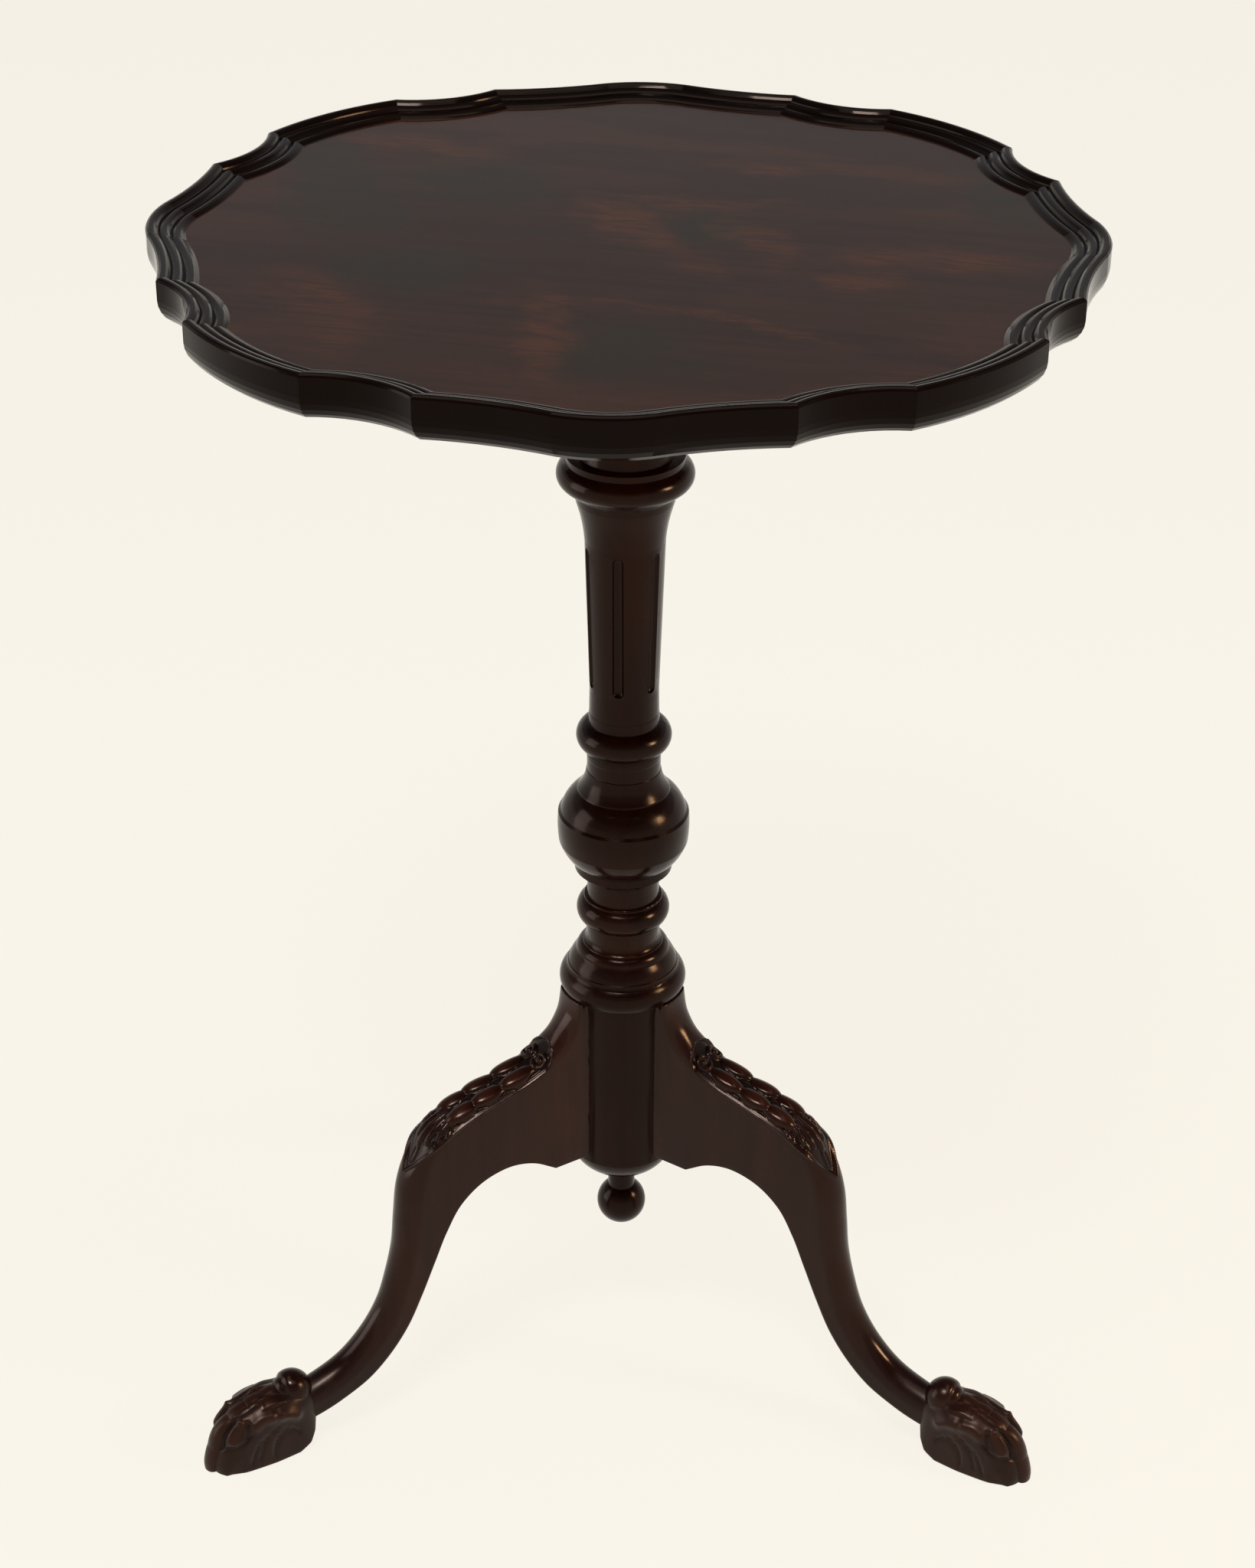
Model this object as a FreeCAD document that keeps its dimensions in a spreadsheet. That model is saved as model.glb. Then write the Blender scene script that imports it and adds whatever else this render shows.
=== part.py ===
"""Gueridon: a tripod table with a scalloped, stepped-rim tray top that tilts.

Millimetres. +Z up, origin on the column's axis at the floor, the hinge side to -Y.
"""

import FreeCAD, Part
import math
import os
from FreeCAD import Placement, Rotation, Vector
from Sketcher import Constraint

SIZES = {
    # Overall
    "overall_height": 700.0,
    "overrun": 2.0,
    # Tray top, in plan: four wide lobes with a bow in the middle, four narrow lobes, coves between
    "top_thickness": 23.0,
    "wide_corner_radius": 238.1,
    "wide_half_angle": 21.0,
    "bow_half_angle": 5.5,
    "bow_foot_rise": 0.8,
    "bow_peak_rise": 3.4,
    "hollow_sag": 2.6,
    "narrow_half_angle": 10.5,
    "narrow_corner_rise": 5.4,
    "narrow_crown": 1.9,
    "cove_sag": 7.0,
    "pattern_angle": -2.45,
    # Tray top, in section
    "rim_width": 20.0,
    "rim_drop": 6.2,
    "ovolo_width": 6.2,
    "ovolo_height": 11.5,
    # Bearers under the top and their screws
    "bearer_length": 300.0,
    "bearer_height": 26.0,
    "bearer_thickness": 20.0,
    "bearer_gap": 1.0,
    "bearer_end_height": 12.0,
    "bearer_taper": 34.0,
    "bearer_screw_pitch": 105.0,
    "screw_radius": 2.0,
    "screw_bite": 10.0,
    "screw_head_radius": 4.0,
    "screw_head_height": 2.5,
    "counterbore_depth": 8.0,
    "counterbore_radius": 4.6,
    "driver_slot": 0.8,
    # Block and tilting hinge
    "block_width": 100.0,
    "block_back": 50.0,
    "block_thickness": 30.0,
    "rest_gap": 0.3,
    "pivot_setback": 38.0,
    "pivot_drop": 15.0,
    "pivot_radius": 5.0,
    "pivot_clearance": 0.05,
    "pivot_inset": 1.0,
    "tenon_radius": 13.0,
    "wedge_top": 3.0,
    "wedge_point": 1.0,
    "wedge_depth": 22.0,
    "wedge_length": 25.0,
    # Catch
    "bolt_width": 12.0,
    "bolt_thickness": 5.0,
    "bolt_length": 43.0,
    "bolt_drop": 5.0,
    "bolt_clearance": 0.1,
    "bolt_travel": 8.5,
    "bolt_bevel": 1.5,
    "case_gap": 4.0,
    "case_length": 38.0,
    "case_wall": 2.5,
    "case_side_wall": 5.0,
    "nose_out": 0.5,
    "flange_width": 48.0,
    "flange_thickness": 2.0,
    "flange_screw_spacing": 36.0,
    "flange_screw_pitch": 24.0,
    "small_screw_radius": 1.5,
    "small_screw_head_radius": 3.0,
    "small_screw_head_height": 1.5,
    "small_screw_bite": 8.0,
    "knob_radius": 5.0,
    "knob_stem_radius": 2.0,
    "knob_stem_length": 5.0,
    "knob_rivet": 2.5,
    "knob_setback": 21.0,
    "keeper_width": 34.0,
    "keeper_height": 16.0,
    "keeper_thickness": 1.5,
    "keeper_drop": 1.0,
    "keeper_clearance": 0.3,
    "slot_clearance": 0.3,
    "keeper_pocket": 8.0,
    "keeper_screw_spacing": 24.0,
    "keeper_screw_radius": 1.3,
    "keeper_screw_head_radius": 2.6,
    "keeper_screw_head_height": 1.0,
    "keeper_screw_length": 10.0,
    # Turned column, from the block down: a height and a radius for each member.
    # The neck and the shaft share what the other members leave of the height.
    "neck_radius": 27.0,
    "capital_height": 26.0,
    "capital_radius": 36.3,
    "shaft_radius": 26.0,
    "collar_height": 26.5,
    "collar_radius": 26.1,
    "waist_height": 8.5,
    "waist_radius": 20.5,
    "bulb_height": 74.5,
    "bulb_radius": 36.8,
    "lower_collar_height": 27.0,
    "lower_collar_radius": 26.3,
    "base_height": 38.0,
    "base_radius": 36.1,
    "leg_top": 250.0,
    "stile_radius": 31.0,
    "stile_height": 107.0,
    # Flutes
    "flute_count": 6,
    "flute_start_angle": 80.0,
    "flute_width": 6.2,
    "flute_depth": 2.2,
    # Pendant
    "pendant_lip_radius": 30.5,
    "pendant_lip_height": 4.0,
    "pendant_bowl_height": 16.5,
    "pendant_bowl_foot_radius": 10.5,
    "pendant_neck_radius": 7.8,
    "pendant_ball_radius": 14.3,
    "pendant_ball_drop": 49.0,
    "spigot_radius": 7.0,
    "spigot_length": 24.0,
    # Legs
    "leg_count": 3,
    "leg_start_angle": -30.65,
    "leg_reach": 275.0,
    "leg_half_width": 12.2,
    "leg_spare": 6.0,
    "dovetail_depth": 14.0,
    "dovetail_neck": 10.0,
    "dovetail_root": 15.0,
    "dovetail_height": 89.0,
    "foot_height": 43.0,
    "foot_half_width": 15.2,
    "knuckle_radius": 11.5,
    "knuckle_reach": 216.5,
    "knuckle_height": 37.8,
    "toe_radius": 6.2,
    "toe_spread": 8.4,
    "panel_bead_radius": 6.4,
    "panel_bead_proud": 1.6,
}


class Size:
    """A named size, or a sum of them: its number, and the text that binds a property to the sheet."""

    def __init__(self, text, value):
        self.text = text
        self.value = float(value)

    def join(self, other, sign, value):
        return Size(f"({self.text} {sign} {as_size(other).text})", value)

    def __add__(self, other):
        return self.join(other, "+", self.value + float(other))

    def __sub__(self, other):
        return self.join(other, "-", self.value - float(other))

    def __mul__(self, other):
        return self.join(other, "*", self.value * float(other))

    def __truediv__(self, other):
        return self.join(other, "/", self.value / float(other))

    def __radd__(self, other):
        return as_size(other) + self

    def __rsub__(self, other):
        return as_size(other) - self

    def __rmul__(self, other):
        return as_size(other) * self

    def __rtruediv__(self, other):
        return as_size(other) / self

    def __neg__(self):
        return as_size(0) - self

    def __float__(self):
        return self.value


def root(amount):
    return Size(f"sqrt({amount.text})", math.sqrt(amount.value))


def as_size(number):
    return number if isinstance(number, Size) else Size(repr(float(number)), number)


doc = FreeCAD.newDocument("Gueridon")
sheet = doc.addObject("Spreadsheet::Sheet", "Sizes")
for row, (alias, number) in enumerate(SIZES.items(), start=1):
    sheet.set(f"A{row}", alias)
    sheet.set(f"B{row}", str(number))
    sheet.setAlias(f"B{row}", alias)
doc.recompute()


def size(alias):
    return Size(f"Sizes.{alias}", sheet.get(alias))


# Helpers: bound sketches and features

def bind(item, path, amount):
    item.setExpression(path, as_size(amount).text)


def origin_plane(body, role):
    return next(f for f in body.Origin.OriginFeatures if f.Role == role)


def pin_point(sketch, geometry, end, axis, amount):
    """Hold one coordinate of a sketch point to an expression, or to the origin's line where it is zero."""
    if as_size(amount).text == as_size(0).text:
        sketch.addConstraint(Constraint("PointOnObject", geometry, end, -2 if axis == "X" else -1))
        return
    index = sketch.addConstraint(Constraint("Distance" + axis, -1, 1, geometry, end, float(amount)))
    bind(sketch, f"Constraints[{index}]", amount)


def add_outline(sketch, points):
    """Closed outline. A point is (x, y), or (x, y, bulge) where an arc starts.

    The bulge is how far the arc stands off its chord, as a share of the chord, positive to its left.
    """
    first = len(sketch.Geometry)
    total = len(points)
    ends = []
    for i, point in enumerate(points):
        after = points[(i + 1) % total]
        start = Vector(float(point[0]), float(point[1]), 0)
        finish = Vector(float(after[0]), float(after[1]), 0)
        bulge = float(point[2]) if len(point) == 3 else 0
        if bulge:
            left = Vector(start.y - finish.y, finish.x - start.x, 0)
            sketch.addGeometry(Part.Arc(start, (start + finish) * 0.5 + left * bulge, finish))
        else:
            sketch.addGeometry(Part.LineSegment(start, finish))
        # an arc is kept anticlockwise, so one that bulges to the left runs from its finish to its start
        ends.append((2, 1) if bulge > 0 else (1, 2))
    for i, point in enumerate(points):
        after = points[(i + 1) % total]
        j = (i + 1) % total
        sketch.addConstraint(Constraint("Coincident", first + i, ends[i][1], first + j, ends[j][0]))
        pin_point(sketch, first + i, ends[i][0], "X", point[0])
        pin_point(sketch, first + i, ends[i][0], "Y", point[1])
        if len(point) == 3:
            hold_centre(sketch, first + i, point, after)


def hold_centre(sketch, geometry, start, finish):
    """Hold an arc's centre, on its chord's bisector, by the coordinate that settles it best."""
    bulge = as_size(start[2])
    reach = 1 / (8 * bulge) - bulge / 2
    across = as_size(finish[0]) - start[0]
    along = as_size(finish[1]) - start[1]
    if abs(float(along)) >= abs(float(across)):
        pin_point(sketch, geometry, 3, "X", (as_size(start[0]) + finish[0]) / 2 + along * reach)
    else:
        pin_point(sketch, geometry, 3, "Y", (as_size(start[1]) + finish[1]) / 2 - across * reach)


def add_circle(sketch, x, y, radius):
    index = sketch.addGeometry(Part.Circle(Vector(float(x), float(y), 0), Vector(0, 0, 1), float(radius)))
    pin_point(sketch, index, 3, "X", x)
    pin_point(sketch, index, 3, "Y", y)
    held = sketch.addConstraint(Constraint("Radius", index, float(radius)))
    bind(sketch, f"Constraints[{held}]", radius)


def new_body(label):
    body = doc.addObject("PartDesign::Body", label)
    body.Label = label
    return body


def new_sketch(body, role, offset=0, outlines=(), circles=(), turn=0):
    """A sketch on one of the body's own planes, moved along its normal by offset and turned about +Z."""
    sketch = body.newObject("Sketcher::SketchObject", f"{body.Label}_sketch")
    sketch.AttachmentSupport = [(origin_plane(body, role), "")]
    sketch.MapMode = "FlatFace"
    upright = Vector(0, 0, 1) if role == "XY_Plane" else Vector(0, 1, 0)
    sketch.AttachmentOffset = Placement(Vector(0, 0, 0), Rotation(upright, float(turn)))
    bind(sketch, "AttachmentOffset.Base.z", offset)
    for outline in outlines:
        add_outline(sketch, outline)
    for circle in circles:
        add_circle(sketch, *circle)
    return sketch


def pad(body, sketch, length, midplane=False):
    feature = body.newObject("PartDesign::Pad", f"{body.Label}_pad")
    feature.Profile = sketch
    bind(feature, "Length", length)
    feature.Midplane = midplane
    return feature


def pocket(body, sketch, length, forward=False, midplane=False):
    """A pocket cuts against the sketch's normal, or along it when forward. It has to remove something."""
    doc.recompute()
    before = body.Shape.Volume
    feature = body.newObject("PartDesign::Pocket", f"{body.Label}_pocket")
    feature.Profile = sketch
    bind(feature, "Length", length)
    feature.Reversed = forward
    feature.Midplane = midplane
    doc.recompute()
    if not body.Shape.Volume < before:
        raise ValueError(f"a pocket in {body.Label} cuts nothing")
    return feature


def revolve(body, sketch):
    feature = body.newObject("PartDesign::Revolution", f"{body.Label}_revolution")
    feature.Profile = sketch
    feature.ReferenceAxis = (sketch, ["V_Axis"])
    return feature


def repeat_round(body, feature, count):
    pattern = body.newObject("PartDesign::PolarPattern", f"{body.Label}_pattern")
    pattern.Originals = [feature]
    pattern.Axis = (next(f for f in body.Origin.OriginFeatures if f.Role == "Z_Axis"), [""])
    pattern.Angle = 360
    bind(pattern, "Occurrences", count)
    body.Tip = pattern
    return pattern


def solid_part(label, shape, placement=Placement()):
    item = doc.addObject("Part::Feature", label)
    item.Label = label
    item.Shape = shape
    item.Placement = placement
    return item


def rectangle(x_low, x_high, y_low, y_high):
    return [(x_low, y_low), (x_high, y_low), (x_high, y_high), (x_low, y_high)]


# A quarter circle stands off its chord by this share of the chord
QUARTER_SHARE = (math.sqrt(2) - 1) / 2

# Levels and places that several pieces share
underside = size("overall_height") - size("top_thickness")
block_top = underside - size("rest_gap")
block_bottom = block_top - size("block_thickness")
pivot_height = underside - size("pivot_drop")
pivot_place = -size("pivot_setback")
pivot_round = size("pivot_drop") - size("rest_gap")
bearer_inner = size("block_width") / 2 + size("bearer_gap")
bearer_middle = bearer_inner + size("bearer_thickness") / 2
bearer_bottom = underside - size("bearer_height")
head_seat = bearer_bottom + size("counterbore_depth")
case_front = size("block_back") + size("case_gap")
case_back = case_front + size("case_length")
case_middle = (case_front + case_back) / 2
bolt_top = underside - size("bolt_drop")
bolt_bottom = bolt_top - size("bolt_thickness")
nose_place = case_front - size("nose_out")
knob_place = nose_place + size("knob_setback")
keeper_top = block_top - size("keeper_drop")
keeper_middle = keeper_top - size("keeper_height") / 2
stile_bottom = size("leg_top") - size("stile_height")
flange_bottom = underside - size("flange_thickness")
bearer_screw_places = [
    (side * bearer_middle.value, step * size("bearer_screw_pitch").value)
    for side in (-1, 1)
    for step in (-1, 0, 1)
]
flange_screw_places = [
    (side * size("flange_screw_spacing").value / 2,
     case_middle.value + end * size("flange_screw_pitch").value / 2)
    for side in (-1, 1)
    for end in (-1, 1)
]


# Tray top: mitred outlines, each an inset of the edge, joined level by level

def polar(radius, degrees):
    return Vector(radius * math.cos(math.radians(degrees)), radius * math.sin(math.radians(degrees)), 0)


def chord_arc(start, finish, sag):
    """An arc from start to finish, anticlockwise round the table: sag is positive outward."""
    outward = Vector(finish.y - start.y, start.x - finish.x, 0).normalize()
    return start, (start + finish) * 0.5 + outward * sag, finish


def top_arcs():
    """The top's edge as arcs: start, middle, finish, and whether it runs smoothly into the next."""
    corner = size("wide_corner_radius").value
    half = size("wide_half_angle").value
    bow = size("bow_half_angle").value
    bow_foot = corner + size("bow_foot_rise").value
    bow_peak = corner + size("bow_peak_rise").value
    narrow = size("narrow_half_angle").value
    narrow_corner = corner + size("narrow_corner_rise").value
    narrow_peak = narrow_corner + size("narrow_crown").value
    quarter = 360 / 4
    arcs = []
    for turn in range(4):
        middle = size("pattern_angle").value + turn * quarter
        across = middle + quarter / 2
        wide_start = polar(corner, middle - half)
        bow_start = polar(bow_foot, middle - bow)
        bow_finish = polar(bow_foot, middle + bow)
        wide_finish = polar(corner, middle + half)
        narrow_start = polar(narrow_corner, across - narrow)
        narrow_finish = polar(narrow_corner, across + narrow)
        next_start = polar(corner, middle + quarter - half)
        hollow = -size("hollow_sag").value
        cove = -size("cove_sag").value
        arcs += [
            (*chord_arc(wide_start, bow_start, hollow), True),
            (bow_start, polar(bow_peak, middle), bow_finish, True),
            (*chord_arc(bow_finish, wide_finish, hollow), False),
            (*chord_arc(wide_finish, narrow_start, cove), False),
            (narrow_start, polar(narrow_peak, across), narrow_finish, False),
            (*chord_arc(narrow_finish, next_start, cove), False),
        ]
    return arcs


def arc_circle(arc):
    circle = Part.Arc(*arc[:3]).toShape().Curve
    hollow = (arc[1] - circle.Center).dot(arc[1]) < 0
    return circle.Center, circle.Radius, -1 if hollow else 1


def inset_point(arc, point, inset):
    """The point moved inward, square to the arc."""
    centre, _, bulge = arc_circle(arc)
    return point + (centre - point).normalize() * (inset * bulge)


def mitre_point(before, after, inset):
    """Where the insets of two arcs that meet at a corner cross, nearest the corner."""
    centre_a, radius_a, bulge_a = arc_circle(before)
    centre_b, radius_b, bulge_b = arc_circle(after)
    radius_a -= inset * bulge_a
    radius_b -= inset * bulge_b
    between = centre_b - centre_a
    apart = between.Length
    along = (radius_a**2 - radius_b**2 + apart**2) / (2 * apart)
    square = radius_a**2 - along**2
    across = math.sqrt(max(square, 0))
    forward = between.normalize()
    sideways = Vector(-forward.y, forward.x, 0)
    crossings = [centre_a + forward * along + sideways * (across * side) for side in (-1, 1)]
    return min(crossings, key=lambda point: (point - after[0]).Length)


def top_outline(inset, height):
    """The edge's outline, moved inward by inset with its corners mitred, as a wire at height."""
    arcs = top_arcs()
    joints = []
    for before, after in zip(arcs[-1:] + arcs[:-1], arcs):
        if before[3]:
            joints.append((inset_point(before, before[2], inset) + inset_point(after, after[0], inset)) * 0.5)
        else:
            joints.append(mitre_point(before, after, inset))
    level = Vector(0, 0, height)
    edges = []
    for i, arc in enumerate(arcs):
        start = joints[i]
        finish = joints[(i + 1) % len(arcs)]
        middle = inset_point(arc, arc[1], inset)
        edges.append(Part.Arc(start + level, middle + level, finish + level).toShape())
    return Part.Wire(edges)


# Shares of the rim's width and drop: three rounded beads, each a step lower, and the tray's floor
RIM_SHARES = (
    (0.0, 0.26), (0.035, 0.1), (0.09, 0.02), (0.15, 0.0), (0.21, 0.04), (0.27, 0.16), (0.315, 0.34),
    (0.335, 0.5), (0.375, 0.42), (0.425, 0.38), (0.475, 0.37), (0.54, 0.42), (0.595, 0.54), (0.63, 0.72),
    (0.645, 0.82), (0.69, 0.74), (0.74, 0.69), (0.8, 0.68), (0.87, 0.74), (0.93, 0.87), (1.0, 1.0),
)
# Shares of the ovolo's width and height, from the upright edge down to the underside
OVOLO_SHARES = ((0.0, 0.0), (0.06, 0.26), (0.25, 0.54), (0.56, 0.79), (1.0, 1.0))


def tray_solid():
    top = size("overall_height").value
    levels = [(size("ovolo_width").value * w, underside.value + size("ovolo_height").value * (1 - d))
              for w, d in reversed(OVOLO_SHARES)]
    levels += [(size("rim_width").value * w, top - size("rim_drop").value * d) for w, d in RIM_SHARES]
    outlines = [top_outline(inset, height) for inset, height in levels]
    sides = Part.makeLoft(outlines, False, True)
    faces = [Part.Face(outlines[0]), Part.Face(outlines[-1]), *sides.Faces]
    shell = Part.makeShell(faces)
    shell.sewShape()
    solid = Part.makeSolid(shell)
    if solid.Volume < 0:
        solid.reverse()
    return solid


def screw_hole(x, y, radius, bite):
    return Part.makeCylinder(radius, bite.value + underside.value - bearer_bottom.value,
                             Vector(x, y, bearer_bottom.value))


tray = tray_solid()
bores = [screw_hole(x, y, size("screw_radius").value, size("screw_bite")) for x, y in bearer_screw_places]
bores += [screw_hole(x, y, size("small_screw_radius").value, size("small_screw_bite"))
          for x, y in flange_screw_places]
solid_part("tray_top", tray.cut(bores))


# Bearers: two rails that carry the top and turn on the pivot rod

def bearer(label, side):
    body = new_body(label)
    half = size("bearer_length") / 2
    end = underside - size("bearer_end_height")
    taper = half - size("bearer_taper")
    profile = [(-taper, bearer_bottom), (taper, bearer_bottom), (half, end), (half, underside),
               (-half, underside), (-half, end)]
    pad(body, new_sketch(body, "YZ_Plane", side * bearer_middle, [profile]), size("bearer_thickness"), True)
    bore = (pivot_place, pivot_height, size("pivot_radius") + size("pivot_clearance"))
    through = size("bearer_thickness") + size("overrun")
    pocket(body, new_sketch(body, "YZ_Plane", side * bearer_middle, circles=[bore]), through, midplane=True)
    rows = [step * size("bearer_screw_pitch") for step in (-1, 0, 1)]
    shanks = [(side * bearer_middle, y, size("screw_radius")) for y in rows]
    sinks = [(side * bearer_middle, y, size("counterbore_radius")) for y in rows]
    full = size("bearer_height") + size("overrun")
    pocket(body, new_sketch(body, "XY_Plane", bearer_bottom, circles=shanks), full, forward=True)
    pocket(body, new_sketch(body, "XY_Plane", bearer_bottom, circles=sinks), size("counterbore_depth"),
           forward=True)
    return body


bearer("bearer_left", -1)
bearer("bearer_right", 1)


def screw(place, direction, radius, length, head_radius, head_height, slot=size("driver_slot").value):
    """A slotted screw: place is the head's seat, direction the way the shank runs."""
    shank = Part.makeCylinder(radius, length, place, direction)
    head = Part.makeCylinder(head_radius, head_height, place - direction * head_height, direction)
    groove = Part.makeBox(4 * head_radius, slot, slot, Vector(-2 * head_radius, -slot / 2, -slot / 2))
    groove.Placement = Placement(place - direction * head_height, Rotation(Vector(0, 0, 1), direction))
    return shank.fuse(head).cut(groove)


def screw_set(label, places, direction, *sizes):
    return solid_part(label, Part.makeCompound([screw(place, direction, *sizes) for place in places]))


up = Vector(0, 0, 1)
screw_set("bearer_screws", [Vector(x, y, head_seat.value) for x, y in bearer_screw_places], up,
          size("screw_radius").value, underside.value + size("screw_bite").value - head_seat.value,
          size("screw_head_radius").value, size("screw_head_height").value)

# Pivot rod, through the block and into both bearers
rod = doc.addObject("Part::Cylinder", "pivot_rod")
rod.Label = "pivot_rod"
rod_half = bearer_inner + size("bearer_thickness") - size("pivot_inset")
bind(rod, "Radius", size("pivot_radius"))
bind(rod, "Height", rod_half * 2)
rod.Placement = Placement(Vector(0, 0, 0), Rotation(Vector(0, 0, 1), Vector(1, 0, 0)))
bind(rod, "Placement.Base.x", -rod_half)
bind(rod, "Placement.Base.y", pivot_place)
bind(rod, "Placement.Base.z", pivot_height)

# Block on the column's head, rounded about the pivot so that the top can turn past it
block = new_body("block")
block_front = pivot_place - pivot_round
block_outline = [
    (block_front, block_bottom), (size("block_back"), block_bottom), (size("block_back"), block_top),
    (pivot_place, block_top, -QUARTER_SHARE), (block_front, pivot_height),
]
pad(block, new_sketch(block, "YZ_Plane", 0, [block_outline]), size("block_width"), True)
tenon_hole = (0, 0, size("tenon_radius"))
pocket(block, new_sketch(block, "XY_Plane", block_bottom - size("overrun"), circles=[tenon_hole]),
       size("block_thickness") + size("overrun") * 2, forward=True)
rod_hole = (pivot_place, pivot_height, size("pivot_radius"))
pocket(block, new_sketch(block, "YZ_Plane", 0, circles=[rod_hole]),
       size("block_width") + size("overrun"), midplane=True)
half_mouth = size("bolt_width") / 2 + size("keeper_clearance")
mouth_low = bolt_bottom - size("keeper_clearance")
mouth_high = bolt_top + size("keeper_clearance")
mouth = rectangle(-half_mouth, half_mouth, mouth_low, mouth_high)
pocket(block, new_sketch(block, "XZ_Plane", -size("block_back"), [mouth]), size("keeper_pocket"),
       forward=True)
keeper_holes = [(side * size("keeper_screw_spacing") / 2, keeper_middle, size("keeper_screw_radius"))
                for side in (-1, 1)]
keeper_bite = size("keeper_screw_length") - size("keeper_thickness") + size("keeper_screw_head_height")
pocket(block, new_sketch(block, "XZ_Plane", -size("block_back"), circles=keeper_holes), keeper_bite,
       forward=True)

# Column: members from the block down, each a table of shares of its radius and height.
# A third number is an arc's bulge, as a share of its chord: outward if positive, inward if negative.
NECK_LENGTH_SHARE = 0.355
NECK_SHARES = ((1.0, 0.0), (1.0, 0.09), (0.87, 0.09, -0.055), (0.93, 0.995))
CAPITAL_SHARES = (
    (0.868, 0.0), (0.868, 0.13), (0.905, 0.17, 0.315), (0.877, 0.672), (0.744, 0.84), (0.725, 0.99),
)
SHAFT_SHARES = ((0.995, 0.01, -0.03), (0.832, 0.178), (0.727, 0.88), (0.735, 0.99))
COLLAR_SHARES = ((0.742, 0.0), (0.748, 0.206, 0.4), (0.766, 0.82), (0.783, 0.9), (0.783, 1.0))
WAIST_SHARES = ((0.99, 0.1), (0.99, 0.95))
BULB_SHARES = (
    (0.561, 0.0, -0.07), (0.69, 0.156), (0.7, 0.168, 0.09), (0.948, 0.34), (0.985, 0.36, 0.03),
    (0.976, 0.595, 0.066), (0.733, 0.777), (0.739, 0.833, 0.05), (0.552, 0.908), (0.547, 0.99),
)
LOWER_COLLAR_SHARES = (
    (0.766, 0.0), (0.77, 0.2), (0.81, 0.212, 0.2), (0.84, 0.262), (0.83, 0.28, 0.31), (0.8, 0.84),
    (0.795, 0.98),
)
BASE_SHARES = (
    (0.576, 0.03), (0.572, 0.105, -0.15), (0.625, 0.235), (0.632, 0.25, 0.12), (0.728, 0.375),
    (0.742, 0.4, 0.05), (0.85, 0.588), (0.868, 0.606), (0.868, 0.624, -0.1), (0.9, 0.684, 0.175),
    (0.965, 1.0),
)


def member(top, height, radius, shares):
    return [(radius * across, top - height * down, *bulge) for across, down, *bulge in shares]


base_top = size("leg_top") + size("base_height")
lower_collar_top = base_top + size("lower_collar_height")
bulb_top = lower_collar_top + size("bulb_height")
waist_top = bulb_top + size("waist_height")
collar_top = waist_top + size("collar_height")
neck_height = (block_bottom - collar_top - size("capital_height")) * NECK_LENGTH_SHARE
capital_top = block_bottom - neck_height
shaft_top = capital_top - size("capital_height")
shaft_height = shaft_top - collar_top
column_profile = [(0, stile_bottom), (0, block_top), (size("tenon_radius"), block_top),
                  (size("tenon_radius"), block_bottom)]
for top, height, radius, shares in (
    (block_bottom, neck_height, size("neck_radius"), NECK_SHARES),
    (capital_top, size("capital_height"), size("capital_radius"), CAPITAL_SHARES),
    (shaft_top, shaft_height, size("shaft_radius"), SHAFT_SHARES),
    (collar_top, size("collar_height"), size("collar_radius"), COLLAR_SHARES),
    (waist_top, size("waist_height"), size("waist_radius"), WAIST_SHARES),
    (bulb_top, size("bulb_height"), size("bulb_radius"), BULB_SHARES),
    (lower_collar_top, size("lower_collar_height"), size("lower_collar_radius"), LOWER_COLLAR_SHARES),
    (base_top, size("base_height"), size("base_radius"), BASE_SHARES),
):
    column_profile += member(top, height, radius, shares)
column_profile += [(size("stile_radius"), size("leg_top")), (size("stile_radius"), stile_bottom)]

column = new_body("column")
revolve(column, new_sketch(column, "XZ_Plane", 0, [column_profile]))


def dovetail_outline(reach):
    """A dovetail in plan, pointing to +X: wide at its root, narrowing out to reach."""
    root = size("stile_radius") - size("dovetail_depth")
    slope = (size("dovetail_root") - size("dovetail_neck")) / (size("dovetail_depth") * 2)
    mouth_half = size("dovetail_root") / 2 - slope * (reach - root)
    return [(root, -(size("dovetail_root") / 2)), (reach, -mouth_half), (reach, mouth_half),
            (root, size("dovetail_root") / 2)]


socket_reach = size("stile_radius") + size("overrun")
socket_sketch = new_sketch(column, "XY_Plane", stile_bottom, [dovetail_outline(socket_reach)],
                           turn=size("leg_start_angle"))
socket = pocket(column, socket_sketch, size("dovetail_height"), forward=True)
repeat_round(column, socket, size("leg_count"))
spigot_hole = (0, 0, size("spigot_radius"))
pocket(column, new_sketch(column, "XY_Plane", stile_bottom, circles=[spigot_hole]), size("spigot_length"),
       forward=True)
wedge_bottom = block_top - size("wedge_depth")
wedge_outline = [(-size("wedge_point") / 2, wedge_bottom), (size("wedge_point") / 2, wedge_bottom),
                 (size("wedge_top") / 2, block_top), (-size("wedge_top") / 2, block_top)]
pocket(column, new_sketch(column, "YZ_Plane", 0, [wedge_outline]), size("tenon_radius") * 2 + size("overrun"),
       midplane=True)

wedge = new_body("tenon_wedge")
pad(wedge, new_sketch(wedge, "YZ_Plane", 0, [wedge_outline]), size("wedge_length"), True)


# Flutes: round-ended hollows, cut by a slim capsule laid along the shaft's taper.
# Shares of the shaft's height, from its top, where they begin and end.
FLUTE_SHARES = (0.198, 0.862)


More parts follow.
